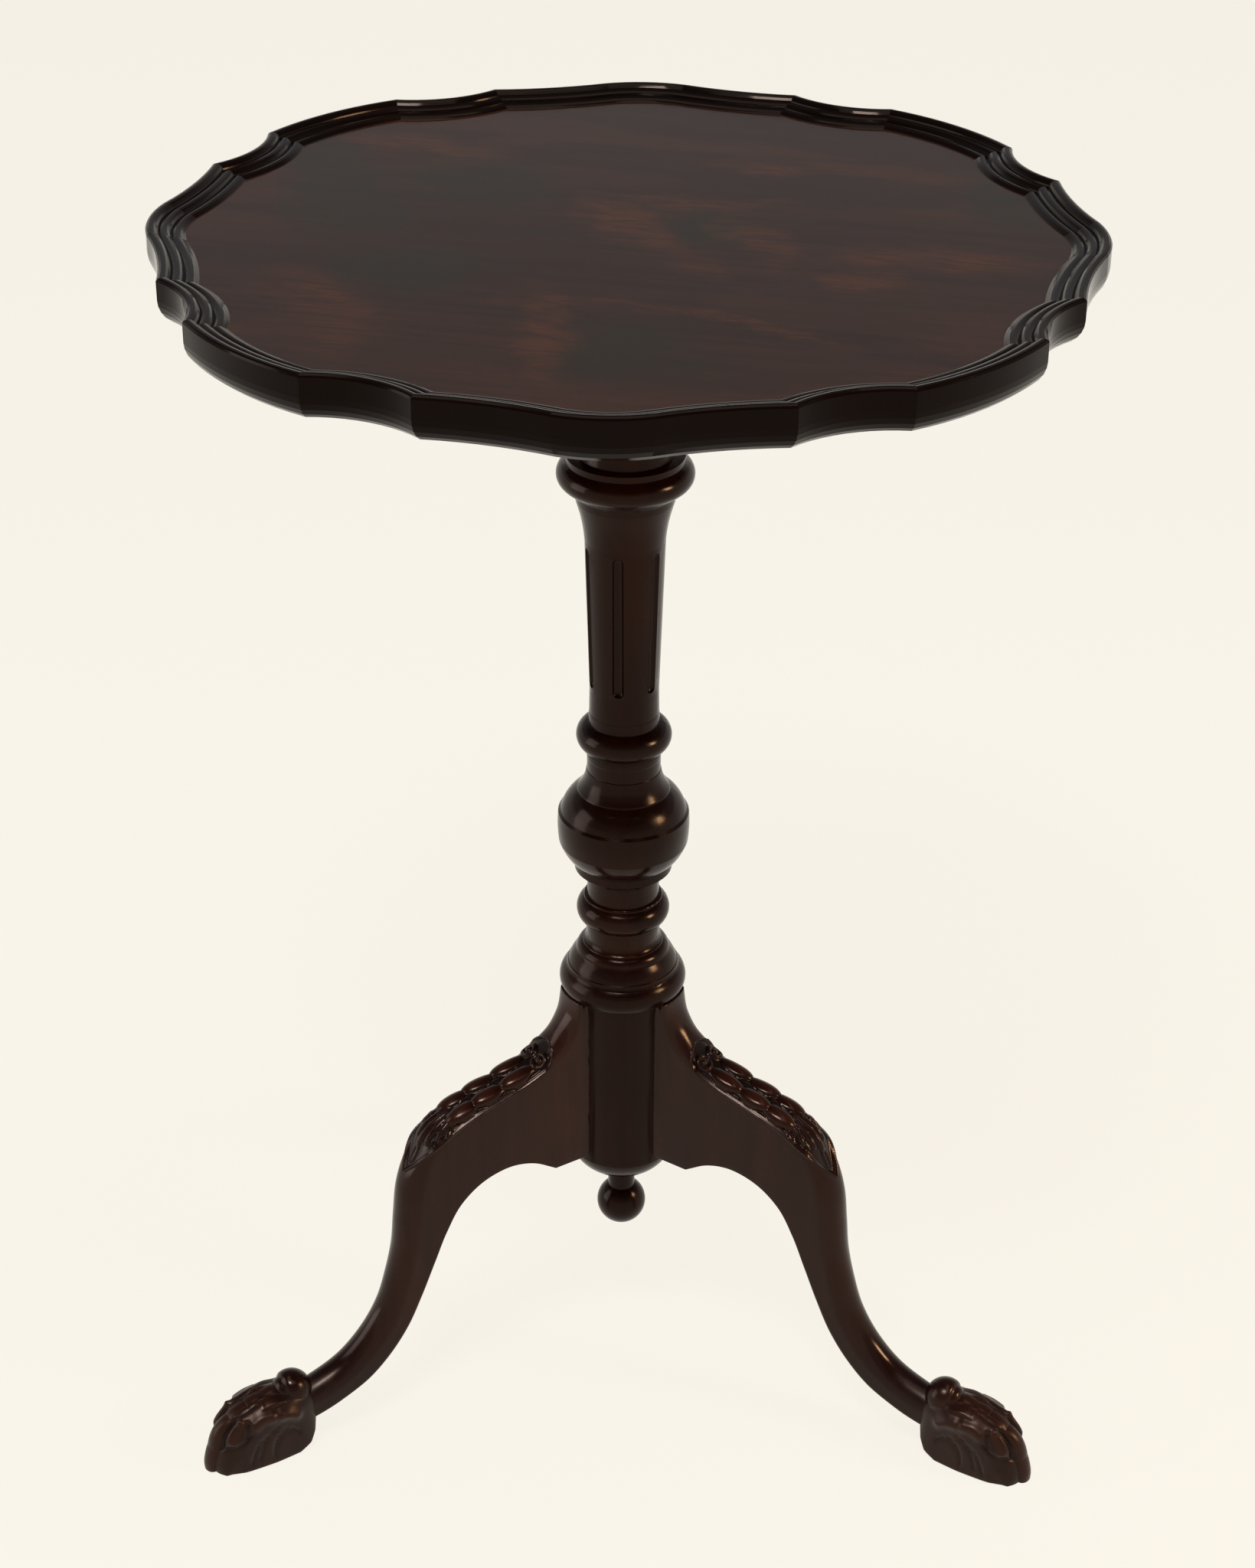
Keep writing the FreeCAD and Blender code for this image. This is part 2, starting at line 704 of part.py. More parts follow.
def shaft_surface(down_share):
    """The shaft's radius at a share of its height, on the straight line down its long taper."""
    upper, lower = SHAFT_SHARES[1], SHAFT_SHARES[2]
    share = upper[0] + (lower[0] - upper[0]) * (down_share - upper[1]) / (lower[1] - upper[1])
    return size("shaft_radius") * share


flute_high, flute_low = (shaft_top - shaft_height * share for share in FLUTE_SHARES)
half_flute = size("flute_width") / 2
flute_radius = (half_flute * half_flute / size("flute_depth") + size("flute_depth")) / 2
axis_out = flute_radius - size("flute_depth")
high_axis = shaft_surface(FLUTE_SHARES[0]) + axis_out
low_axis = shaft_surface(FLUTE_SHARES[1]) + axis_out
flute_profile = [
    (low_axis, flute_low), (high_axis, flute_high, -QUARTER_SHARE),
    (high_axis - flute_radius, flute_high - flute_radius),
    (low_axis - flute_radius, flute_low + flute_radius, -QUARTER_SHARE),
]
flute_sketch = new_sketch(column, "XZ_Plane", 0, [flute_profile], turn=size("flute_start_angle"))
centre_line = Part.LineSegment(Vector(float(low_axis), float(flute_low), 0),
                               Vector(float(high_axis), float(flute_high), 0))
axis_index = flute_sketch.addGeometry(centre_line, True)
flute_sketch.addConstraint(Constraint("Coincident", axis_index, 1, 0, 1))
flute_sketch.addConstraint(Constraint("Coincident", axis_index, 2, 0, 2))
doc.recompute()
unfluted = column.Shape.Volume
flute = column.newObject("PartDesign::Groove", "column_flute")
flute.Profile = flute_sketch
flute.ReferenceAxis = (flute_sketch, ["Axis0"])
repeat_round(column, flute, size("flute_count"))
doc.recompute()
if not column.Shape.Volume < unfluted:
    raise ValueError("the flutes cut nothing")


# Pendant: a shallow bowl under the column, a neck and a ball, held by a spigot
BOWL_BULGE_SHARE = 0.17


def upper_bulge(ball, neck):
    """The bulge of the arc from a ball's equator up to where its neck leaves it."""
    half_cosine = root((1 + neck / ball) / 2)
    half_sine = root((1 - neck / ball) / 2)
    return (1 - half_cosine) / half_sine / 2


pendant = new_body("pendant_finial")
lip_bottom = stile_bottom - size("pendant_lip_height")
bowl_bottom = lip_bottom - size("pendant_bowl_height")
ball_middle = stile_bottom - size("pendant_ball_drop")
ball = size("pendant_ball_radius")
neck = size("pendant_neck_radius")
neck_rise = root(ball * ball - neck * neck)
spigot_top = stile_bottom + size("spigot_length")
pendant_profile = [
    (0, ball_middle - ball, -QUARTER_SHARE), (ball, ball_middle, -upper_bulge(ball, neck)),
    (neck, ball_middle + neck_rise), (neck, bowl_bottom),
    (size("pendant_bowl_foot_radius"), bowl_bottom, -BOWL_BULGE_SHARE),
    (size("pendant_lip_radius"), lip_bottom), (size("pendant_lip_radius"), stile_bottom),
    (size("spigot_radius"), stile_bottom), (size("spigot_radius"), spigot_top), (0, spigot_top),
]
revolve(pendant, new_sketch(pendant, "XZ_Plane", 0, [pendant_profile]))


# Legs, each made pointing to +X: a rounded blade, sawn to its underside, and a carved foot
# Shares of the reach and the leg's top: crest (along, up), the underside faced (along, up), half width
BLADE_SHARES = (
    (0.1, 1.15, 0.055, 0.568, 1.0), (0.1235, 1.048, 0.08, 0.568, 1.0), (0.1385, 0.965, 0.105, 0.568, 1.0),
    (0.163, 0.922, 0.135, 0.568, 1.0), (0.2016, 0.891, 0.167, 0.568, 1.0),
    (0.2535, 0.864, 0.2036, 0.584, 1.0),
    (0.316, 0.841, 0.24, 0.602, 1.01), (0.378, 0.819, 0.28, 0.614, 1.03),
    (0.432, 0.792, 0.316, 0.611, 1.05),
    (0.4764, 0.758, 0.349, 0.6, 1.05), (0.509, 0.692, 0.378, 0.58, 1.03), (0.529, 0.62, 0.4035, 0.55, 1.0),
    (0.538, 0.54, 0.424, 0.512, 0.97), (0.5465, 0.452, 0.447, 0.46, 0.94),
    (0.5625, 0.38, 0.4755, 0.379, 0.91),
    (0.585, 0.309, 0.514, 0.285, 0.9), (0.6275, 0.239, 0.573, 0.181, 0.88),
    (0.675, 0.192, 0.635, 0.124, 0.87),
    (0.741, 0.159, 0.717, 0.083, 0.87), (0.81, 0.14, 0.8, 0.06, 0.75),
)
ARCH_SHARES = (
    (0.182, 0.567), (0.196, 0.577), (0.229, 0.599), (0.291, 0.6142), (0.353, 0.5975), (0.4025, 0.5535),
    (0.437, 0.4865), (0.465, 0.41), (0.4965, 0.3255), (0.532, 0.245), (0.5755, 0.1805), (0.624, 0.1325),
    (0.688, 0.0975), (0.7855, 0.062),
)
# Shares of the reach, the foot's height and its half width: crest and half width along the foot
FOOT_SHARES = (
    (0.757, 0.84, 0.48), (0.772, 0.95, 0.74), (0.8, 1.0, 0.88), (0.85, 0.975, 0.97), (0.9, 0.895, 1.0),
    (0.937, 0.74, 0.96), (0.964, 0.5, 0.85), (0.983, 0.19, 0.66),
)
HEEL_SHARES = ((0.752, 0.58), (0.7615, 0.42), (0.766, 0.27), (0.776, 0.14), (0.796, 0.045), (0.83, 0.0))
# Shares of the reach, the foot's height, the spread and the toe's radius, from the ankle to the floor
MIDDLE_TOE_SHARES = (
    (0.8, 0.86, 0.0, 0.9), (0.865, 0.82, 0.0, 1.05), (0.922, 0.675, 0.0, 1.05), (0.96, 0.43, 0.0, 0.95),
    (0.98, 0.0, 0.0, 0.75), (0.98, -0.12, 0.0, 0.72),
)
SIDE_TOE_SHARES = (
    (0.8, 0.7, 0.6, 0.85), (0.857, 0.7, 0.95, 1.0), (0.912, 0.575, 1.08, 1.0), (0.945, 0.35, 1.08, 0.92),
    (0.957, 0.0, 1.0, 0.8), (0.957, -0.12, 1.0, 0.78),
)
PANEL_BEAD_SHARES = (0.24, 0.295, 0.352, 0.41, 0.462)


def bell(place, across, upward, height, half):
    """A wire square at its foot and half round at its top, in the plane of across and upward."""
    shoulder = place + upward * (height - half)
    feet = [place - across * half, place + across * half]
    arms = [shoulder - across * half, shoulder + across * half]
    return Part.Wire([
        Part.makeLine(feet[0], feet[1]), Part.makeLine(feet[1], arms[1]),
        Part.Arc(arms[1], shoulder + upward * half, arms[0]).toShape(), Part.makeLine(arms[0], feet[0]),
    ])


def leg_point(reach_share, height_share, height):
    return Vector(size("leg_reach").value * reach_share, 0, height.value * height_share)


def side_slab(edges, half):
    """A slab to both sides of the leg's middle plane, from a closed outline of edges."""
    return Part.Face(Part.Wire(edges)).extrude(Vector(0, half * 2, 0)).translated(Vector(0, -half, 0))


def path_edges(points):
    return [Part.makeLine(a, b) for a, b in zip(points, points[1:])]


def spline(points):
    curve = Part.BSplineCurve()
    curve.interpolate(points)
    return curve.toShape()


def blade():
    sections = []
    for crest_r, crest_z, under_r, under_z, width_share in BLADE_SHARES:
        crest = leg_point(crest_r, crest_z, size("leg_top"))
        under = leg_point(under_r, under_z, size("leg_top"))
        upward = (crest - under).normalize()
        low = under - upward * size("leg_spare").value
        half = size("leg_half_width").value * width_share
        sections.append(bell(low, Vector(0, 1, 0), upward, (crest - low).Length, half))
    rough = Part.makeLoft(sections, True)
    arch = [leg_point(*share, size("leg_top")) for share in ARCH_SHARES]
    top = size("leg_top").value
    low = stile_bottom.value
    rest = [arch[-1], Vector(arch[-1].x, 0, top), Vector(0, 0, top), Vector(0, 0, low),
            Vector(size("stile_radius").value, 0, low), arch[0]]
    slab = side_slab([spline(arch), *path_edges(rest)], size("leg_half_width").value * 2)
    stile = Part.makeCylinder(size("stile_radius").value, size("overall_height").value)
    return rough.common(slab).cut(stile)


def foot_slab():
    heel = [leg_point(*share, size("foot_height")) for share in HEEL_SHARES]
    tip = size("leg_reach").value + size("overrun").value
    top = size("foot_height").value * 2
    rest = [heel[-1], Vector(tip, 0, 0), Vector(tip, 0, top), Vector(heel[0].x, 0, top), heel[0]]
    return side_slab([spline(heel), *path_edges(rest)], size("foot_half_width").value * 2)


def foot():
    sections = []
    low = size("leg_spare").value
    for along, up_share, width_share in FOOT_SHARES:
        crest = leg_point(along, up_share, size("foot_height"))
        half = size("foot_half_width").value * width_share
        sections.append(bell(Vector(crest.x, 0, -low - half), Vector(0, 1, 0), Vector(0, 0, 1),
                             crest.z + low + half, half))
    return Part.makeLoft(sections, True)


def ring(place, forward, radius):
    """A circle square to forward, as two arcs that start to its side, so that rings join without a twist."""
    across = (Vector(0, 1, 0) - forward * forward.y).normalize()
    upward = forward.cross(across)
    left = place + across * radius
    right = place - across * radius
    return Part.Wire([Part.Arc(left, place + upward * radius, right).toShape(),
                      Part.Arc(right, place - upward * radius, left).toShape()])


def toe(shares, side):
    places = [leg_point(along, up_share, size("foot_height"))
              + Vector(0, side * size("toe_spread").value * spread, 0)
              for along, up_share, spread, _ in shares]
    rings = []
    for i, (place, share) in enumerate(zip(places, shares)):
        before = places[max(i - 1, 0)]
        after = places[min(i + 1, len(places) - 1)]
        rings.append(ring(place, (after - before).normalize(), size("toe_radius").value * share[3]))
    return Part.makeLoft(rings, True)


def panel_beads():
    """A row of domes along the knee's crest, each sunk so that a little stands proud."""
    crest = [leg_point(share[0], share[1], size("leg_top")) for share in BLADE_SHARES]
    sunk = size("panel_bead_radius").value - size("panel_bead_proud").value
    beads = []
    for share in PANEL_BEAD_SHARES:
        reach = size("leg_reach").value * share
        a, b = next(pair for pair in zip(crest, crest[1:]) if pair[0].x <= reach <= pair[1].x)
        place = a + (b - a) * ((reach - a.x) / (b.x - a.x))
        inward = Vector(b.z - a.z, 0, a.x - b.x).normalize()
        beads.append(Part.makeSphere(size("panel_bead_radius").value, place + inward * sunk))
    return beads


def dovetail():
    points = [Vector(float(x), float(y), stile_bottom.value) for x, y in dovetail_outline(socket_reach)]
    face = Part.Face(Part.makePolygon([*points, points[0]]))
    return face.extrude(Vector(0, 0, size("dovetail_height").value))


def leg_solid():
    knuckle = Part.makeSphere(size("knuckle_radius").value,
                              Vector(size("knuckle_reach").value, 0, size("knuckle_height").value))
    slab = foot_slab()
    carved = [piece.common(slab) for piece in
              (foot(), toe(MIDDLE_TOE_SHARES, 1), toe(SIDE_TOE_SHARES, 1), toe(SIDE_TOE_SHARES, -1))]
    whole = blade().fuse([*carved, knuckle, *panel_beads(), dovetail()])
    if len(whole.Solids) != 1:
        raise ValueError(f"a leg is {len(whole.Solids)} solids")
    return whole.Solids[0]


leg = leg_solid()
for i, label in enumerate(("leg_right", "leg_back", "leg_left")):
    turn = size("leg_start_angle").value + i * 360 / size("leg_count").value
    solid_part(label, leg, Placement(Vector(0, 0, 0), Rotation(Vector(0, 0, 1), turn)))

# Catch: a brass case under the top, a bolt that slides towards the block, its knob, and a keeper
case = new_body("catch_case")
half_case = size("bolt_width") / 2 + size("case_side_wall")
case_bottom = bolt_bottom - size("case_wall")
half_flange = size("flange_width") / 2
section = [(-half_case, case_bottom), (half_case, case_bottom), (half_case, flange_bottom),
           (half_flange, flange_bottom), (half_flange, underside), (-half_flange, underside),
           (-half_flange, flange_bottom), (-half_case, flange_bottom)]
pad(case, new_sketch(case, "XZ_Plane", -case_middle, [section]), size("case_length"), True)
half_tunnel = size("bolt_width") / 2 + size("bolt_clearance")
tunnel = rectangle(-half_tunnel, half_tunnel, bolt_bottom - size("bolt_clearance"),
                   bolt_top + size("bolt_clearance"))
pocket(case, new_sketch(case, "XZ_Plane", -case_middle, [tunnel]), size("case_length") + size("overrun"),
       midplane=True)
half_slot = size("knob_stem_radius") + size("slot_clearance")
slot = rectangle(-half_slot, half_slot, knob_place - size("bolt_travel") - half_slot, knob_place + half_slot)
pocket(case, new_sketch(case, "XY_Plane", case_bottom - size("overrun"), [slot]),
       size("case_wall") + size("overrun"), forward=True)
flange_holes = [
    (side * size("flange_screw_spacing") / 2, case_middle + end * size("flange_screw_pitch") / 2,
     size("small_screw_radius"))
    for side in (-1, 1)
    for end in (-1, 1)
]
pocket(case, new_sketch(case, "XY_Plane", flange_bottom, circles=flange_holes), size("flange_thickness"),
       forward=True)
screw_set("catch_screws", [Vector(x, y, flange_bottom.value) for x, y in flange_screw_places], up,
          size("small_screw_radius").value, size("flange_thickness").value + size("small_screw_bite").value,
          size("small_screw_head_radius").value, size("small_screw_head_height").value)

bolt = new_body("catch_bolt")
bolt_end = nose_place + size("bolt_length")
bolt_side = [(nose_place, bolt_bottom), (bolt_end, bolt_bottom), (bolt_end, bolt_top),
             (nose_place + size("bolt_bevel"), bolt_top), (nose_place, bolt_top - size("bolt_bevel"))]
pad(bolt, new_sketch(bolt, "YZ_Plane", 0, [bolt_side]), size("bolt_width"), True)
rivet_hole = (0, knob_place, size("knob_stem_radius"))
pocket(bolt, new_sketch(bolt, "XY_Plane", bolt_bottom, circles=[rivet_hole]), size("knob_rivet"),
       forward=True)

knob = new_body("catch_knob")
knob_ball = size("knob_radius")
stem = size("knob_stem_radius")
knob_rise = root(knob_ball * knob_ball - stem * stem)
knob_middle = case_bottom - size("knob_stem_length") - knob_rise
knob_profile = [
    (0, knob_middle - knob_ball, -QUARTER_SHARE), (knob_ball, knob_middle, -upper_bulge(knob_ball, stem)),
    (stem, knob_middle + knob_rise), (stem, bolt_bottom + size("knob_rivet")),
    (0, bolt_bottom + size("knob_rivet")),
]
revolve(knob, new_sketch(knob, "XZ_Plane", 0, [knob_profile]))
bind(knob, "Placement.Base.y", knob_place)

keeper = new_body("keeper_plate")
half_keeper = size("keeper_width") / 2
plate = rectangle(-half_keeper, half_keeper, keeper_top - size("keeper_height"), keeper_top)
keeper_face = size("block_back") + size("keeper_thickness")
pad(keeper, new_sketch(keeper, "XZ_Plane", -keeper_face, [plate]), size("keeper_thickness"))
pocket(keeper, new_sketch(keeper, "XZ_Plane", -keeper_face, [mouth]), size("keeper_thickness"), forward=True)
pocket(keeper, new_sketch(keeper, "XZ_Plane", -keeper_face, circles=keeper_holes), size("keeper_thickness"),
       forward=True)
head_recesses = [(x, z, size("keeper_screw_head_radius")) for x, z, _ in keeper_holes]
pocket(keeper, new_sketch(keeper, "XZ_Plane", -keeper_face, circles=head_recesses),
       size("keeper_screw_head_height"), forward=True)
head_floor = keeper_face - size("keeper_screw_head_height")
screw_set("keeper_screws", [Vector(float(x), head_floor.value, float(z)) for x, z, _ in keeper_holes],
          Vector(0, -1, 0), size("keeper_screw_radius").value, size("keeper_screw_length").value,
          size("keeper_screw_head_radius").value, size("keeper_screw_head_height").value,
          size("keeper_screw_head_height").value / 2)

# Check every object and every piece, then write the pieces
doc.recompute()
for item in doc.Objects:
    if "Invalid" in item.State or "Error" in item.State:
        raise ValueError(f"{item.Name} has failed: {item.State}")
PIECES = (
    "tray_top", "bearer_left", "bearer_right", "bearer_screws", "pivot_rod", "block", "tenon_wedge", "column",
    "pendant_finial", "leg_right", "leg_back", "leg_left", "catch_case", "catch_screws", "catch_bolt",
    "catch_knob", "keeper_plate", "keeper_screws",
)
os.makedirs("parts", exist_ok=True)
for label in PIECES:
    shape = doc.getObjectsByLabel(label)[0].Shape
    if shape.isNull() or not shape.isValid() or not shape.Solids:
        raise ValueError(f"{label} has no valid solid")
    shape.exportStep(f"parts/{label}.step")
    print(f"{label:16s} {len(shape.Solids)} solids, {shape.Volume:12.1f} mm3, {shape.BoundBox}")
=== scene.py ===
# %% [markdown]
# # A gueridon with a scalloped tray
#
# A small round tripod table in dark, french-polished mahogany. Its rim is stepped and scalloped, its column
# is turned and fluted, and its three legs are carved at the knee and end in claw feet. The measured solids
# come in first, as the fixed frame that every piece is set against. What is drawn here is what a plain solid
# can't show: the carving, the figure of the wood and the polish.

# %% Load the measured solids
import math

import bpy
import numpy as np
from mathutils import Matrix, Vector


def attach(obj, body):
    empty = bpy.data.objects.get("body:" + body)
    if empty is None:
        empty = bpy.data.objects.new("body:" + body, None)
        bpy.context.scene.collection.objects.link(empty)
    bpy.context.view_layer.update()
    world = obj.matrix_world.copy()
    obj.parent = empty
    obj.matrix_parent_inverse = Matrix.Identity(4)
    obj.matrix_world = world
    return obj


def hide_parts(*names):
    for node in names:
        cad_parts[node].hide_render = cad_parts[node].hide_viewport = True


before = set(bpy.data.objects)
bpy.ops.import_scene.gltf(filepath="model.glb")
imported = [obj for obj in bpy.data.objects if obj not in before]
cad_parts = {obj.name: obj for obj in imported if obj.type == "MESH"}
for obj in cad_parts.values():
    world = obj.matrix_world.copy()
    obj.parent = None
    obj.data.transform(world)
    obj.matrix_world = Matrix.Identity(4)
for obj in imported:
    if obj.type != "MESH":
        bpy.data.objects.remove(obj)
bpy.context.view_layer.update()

# %% [markdown]
# ## The camera
#
# The photograph was taken from about a metre and a half away, looking down at the tray by thirty degrees. A
# long lens keeps the column's sides nearly upright. The direction is written as pitch, yaw and roll, because
# those are what a photographer would change, and the three axes of the camera follow from them.

# %% Place the camera
CAMERA_PLACE = Vector((0.0, -1.4947, 1.2373))
PITCH, YAW, ROLL = (math.radians(angle) for angle in (29.872, 0.080, 0.380))

forward = Vector((math.sin(YAW) * math.cos(PITCH), math.cos(YAW) * math.cos(PITCH), -math.sin(PITCH)))
level = Vector((math.cos(YAW), -math.sin(YAW), 0.0))
upright = level.cross(forward)
right = math.cos(ROLL) * level + math.sin(ROLL) * upright
above = math.cos(ROLL) * upright - math.sin(ROLL) * level

camera_data = bpy.data.cameras.new("camera")
camera_data.lens = 71.81
camera_data.sensor_width = 36.0
camera_data.clip_end = 100.0
camera = bpy.data.objects.new("camera", camera_data)
axes = Matrix((right, above, -forward)).transposed()
camera.matrix_world = Matrix.Translation(CAMERA_PLACE) @ axes.to_4x4()
bpy.context.scene.collection.objects.link(camera)
bpy.context.scene.camera = camera
print("camera at", tuple(CAMERA_PLACE), "looking", tuple(round(x, 3) for x in forward))

# %% [markdown]
# ## Helpers for node trees
#
# A shader node tree is a list of nodes and wires. Small helpers keep the recipes below short: they add a node
# and fill in its sockets, start a node group with named sockets, or place a group. A value that is a socket
# is wired in, and anything else is written on the node.

# %% Node helpers
def fill_sockets(tree, node, inputs):
    """Each named input of the node is wired, if its value is a socket, or else set."""
    for name, value in inputs.items():
        if isinstance(value, bpy.types.NodeSocket):
            tree.links.new(value, node.inputs[name])
        else:
            node.inputs[name].default_value = value


def add_node(tree, kind, inputs=None, **settings):
    """A node of that kind, with its settings, and its inputs filled from a dict of socket to value."""
    node = tree.nodes.new("ShaderNode" + kind)
    for name, value in settings.items():
        setattr(node, name, value)
    fill_sockets(tree, node, inputs or {})
    return node


def new_group(name, inputs, outputs):
    """A node group with sockets (name, kind, value): the group, its input node and its output node."""
    tree = bpy.data.node_groups.new(name, "ShaderNodeTree")
    for socket_name, kind, value in inputs:
        socket = tree.interface.new_socket(socket_name, in_out="INPUT", socket_type="NodeSocket" + kind)
        if value is not None:
            socket.default_value = value
    for socket_name, kind in outputs:
        tree.interface.new_socket(socket_name, in_out="OUTPUT", socket_type="NodeSocket" + kind)
    return tree, tree.nodes.new("NodeGroupInput"), tree.nodes.new("NodeGroupOutput")


def add_group(tree, group, inputs):
    """The node group placed in a tree, with its inputs filled."""
    node = tree.nodes.new("ShaderNodeGroup")
    node.node_tree = group
    fill_sockets(tree, node, inputs)
    return node


def maths(tree, operation, a, b=0.0, clamp=False):
    """The result socket of one sum, such as MULTIPLY, on two numbers or sockets."""
    return add_node(tree, "Math", {0: a, 1: b}, operation=operation, use_clamp=clamp).outputs[0]


def blend_colour(tree, share, a, b):
    """The colour socket of a mix of two colours, a share of the way from a to b. The mix node keeps its
    number, vector and colour sockets in one row, and its colours are inputs 6 and 7 and output 2."""
    return add_node(tree, "Mix", {0: share, 6: a, 7: b}, data_type="RGBA", clamp_factor=True).outputs[2]


def ramp_value(tree, value, low, high, start=0.0, finish=1.0):
    """A number eased from start to finish as the value goes from low to high."""
    return add_node(tree, "MapRange", {"Value": value, "From Min": low, "From Max": high, "To Min": start,
                                       "To Max": finish}, interpolation_type="SMOOTHSTEP").outputs["Result"]


def height_of(tree, vector):
    """The upward part of a place or a direction."""
    return add_node(tree, "SeparateXYZ", {0: vector}).outputs["Z"]


print("node helpers ready")

# %% [markdown]
# ## The figure of mahogany
#
# Mahogany shows three things at three sizes. Broad clouds of lighter, redder wood drift along the board,
# ribbons a few millimetres wide run with the grain, and short open pores lie between them like pencil dashes.
# Each is a noise pattern stretched along the grain, so one node group makes all three, and every board in the
# table places it with its own grain direction and colours.

# %% The wood group
# The wax colour is also painted shade: the polish group darkens the recesses towards it
PORE_COLOUR, WAX_AND_SHADE_COLOUR = (0.004, 0.002, 0.0015, 1.0), (0.003, 0.0018, 0.0012, 1.0)
figure_group, given, result = new_group(
    "mahogany_figure",
    [("Vector", "Vector", None), ("Dark", "Color", (0.012, 0.006, 0.004, 1.0)),
     ("Light", "Color", (0.05, 0.02, 0.01, 1.0)), ("Clouds", "Float", 0.6), ("Ribbons", "Float", 0.4),
     ("Pores", "Float", 0.5)],
    [("Color", "Color"), ("Pore Mask", "Float"), ("Figure", "Float")])
link = figure_group.links.new


def stretched_noise(tree, vector, scale, detail, rough=0.5, distortion=0.0):
    """A noise pattern whose size is set along and across the grain by a scale vector, in cells per metre."""
    scaled = add_node(tree, "VectorMath", {0: vector, 1: scale}, operation="MULTIPLY").outputs[0]
    return add_node(tree, "TexNoise", {"Vector": scaled, "Scale": 1.0, "Detail": detail, "Roughness": rough,
                                       "Distortion": distortion}).outputs["Fac"]


board_place = given.outputs["Vector"]
clouds = stretched_noise(figure_group, board_place, (5.0, 17.0, 17.0), 3.0, 0.55, 0.9)
clouds = ramp_value(figure_group, clouds, 0.42, 0.7)
ribbons = stretched_noise(figure_group, board_place, (3.0, 170.0, 170.0), 3.0, 0.6, 0.3)
ribbons = ramp_value(figure_group, ribbons, 0.35, 0.7)
pores = stretched_noise(figure_group, board_place, (130.0, 2300.0, 2300.0), 1.0)
pores = ramp_value(figure_group, pores, 0.6, 0.7)
cloud_share = maths(figure_group, "MULTIPLY", clouds, given.outputs["Clouds"])
ribbon_share = maths(figure_group, "MULTIPLY", ribbons, given.outputs["Ribbons"])
figure_share = maths(figure_group, "ADD", cloud_share, ribbon_share, clamp=True)
board = blend_colour(figure_group, figure_share, given.outputs["Dark"], given.outputs["Light"])
pore_share = maths(figure_group, "MULTIPLY", pores, given.outputs["Pores"])
link(blend_colour(figure_group, pore_share, board, PORE_COLOUR), result.inputs["Color"])
link(pore_share, result.inputs["Pore Mask"])
link(figure_share, result.inputs["Figure"])
print("wood group:", len(figure_group.nodes), "nodes")

# %% [markdown]
# ## Hand polish
#
# French polish is shellac rubbed on with a cloth in long strokes. It is glossy, but not a mirror: the strokes
# leave a faint drift in the gloss, the pores show through as tiny dips, and old wax dulls the corners. The
# group gives a roughness and a height from the same drift, and darkens the recesses as painted shade.

# %% The polish group
polish_group, given, result = new_group(
    "rubbed_polish",
    [("Vector", "Vector", None), ("Color", "Color", (0.03, 0.012, 0.007, 1.0)), ("Pore Mask", "Float", 0.0),
     ("Gloss", "Float", 0.2), ("Drift", "Float", 0.1), ("Wax And Shade", "Float", 0.7), ("Reach", "Float", 0.008)],
    [("Color", "Color"), ("Roughness", "Float"), ("Height", "Float")])
link = polish_group.links.new
strokes = stretched_noise(polish_group, given.outputs["Vector"], (25.0, 90.0, 90.0), 4.0, 0.6, 0.4)
fine = stretched_noise(polish_group, given.outputs["Vector"], (260.0, 900.0, 900.0), 2.0)
# Painted shade: ambient occlusion finds the recesses, and their colour is darkened towards the wax colour;
# the same share also dulls the gloss, as old wax does
hollow = add_node(polish_group, "AmbientOcclusion", {"Distance": given.outputs["Reach"]}, samples=8,
                  only_local=True)
recess = ramp_value(polish_group, hollow.outputs["AO"], 0.85, 0.35)
wax_and_shade = maths(polish_group, "MULTIPLY", recess, given.outputs["Wax And Shade"])
link(blend_colour(polish_group, wax_and_shade, given.outputs["Color"], WAX_AND_SHADE_COLOUR), result.inputs["Color"])
drift = maths(polish_group, "MULTIPLY", ramp_value(polish_group, strokes, 0.35, 0.7), given.outputs["Drift"])
duller = maths(polish_group, "MULTIPLY", wax_and_shade, 0.25)
gloss = maths(polish_group, "ADD", maths(polish_group, "ADD", given.outputs["Gloss"], drift), duller)
pore_dull = maths(polish_group, "MULTIPLY", given.outputs["Pore Mask"], 0.15)
link(maths(polish_group, "ADD", gloss, pore_dull, clamp=True), result.inputs["Roughness"])
ripple = maths(polish_group, "ADD", maths(polish_group, "MULTIPLY", strokes, 0.6),
               maths(polish_group, "MULTIPLY", fine, 0.04))
pore_dip = maths(polish_group, "MULTIPLY", given.outputs["Pore Mask"], 0.05)
link(maths(polish_group, "SUBTRACT", ripple, pore_dip), result.inputs["Height"])
print("polish group:", len(polish_group.nodes), "nodes")


# %% A board of mahogany
SHELLAC_TINT = (1.0, 0.72, 0.6, 1.0)
CLOUD_SHARE, PORE_SHARE = 0.6, 0.5
POLISH_BUMP_SHARE, POLISH_BUMP_DEPTH = 0.15, 0.0004


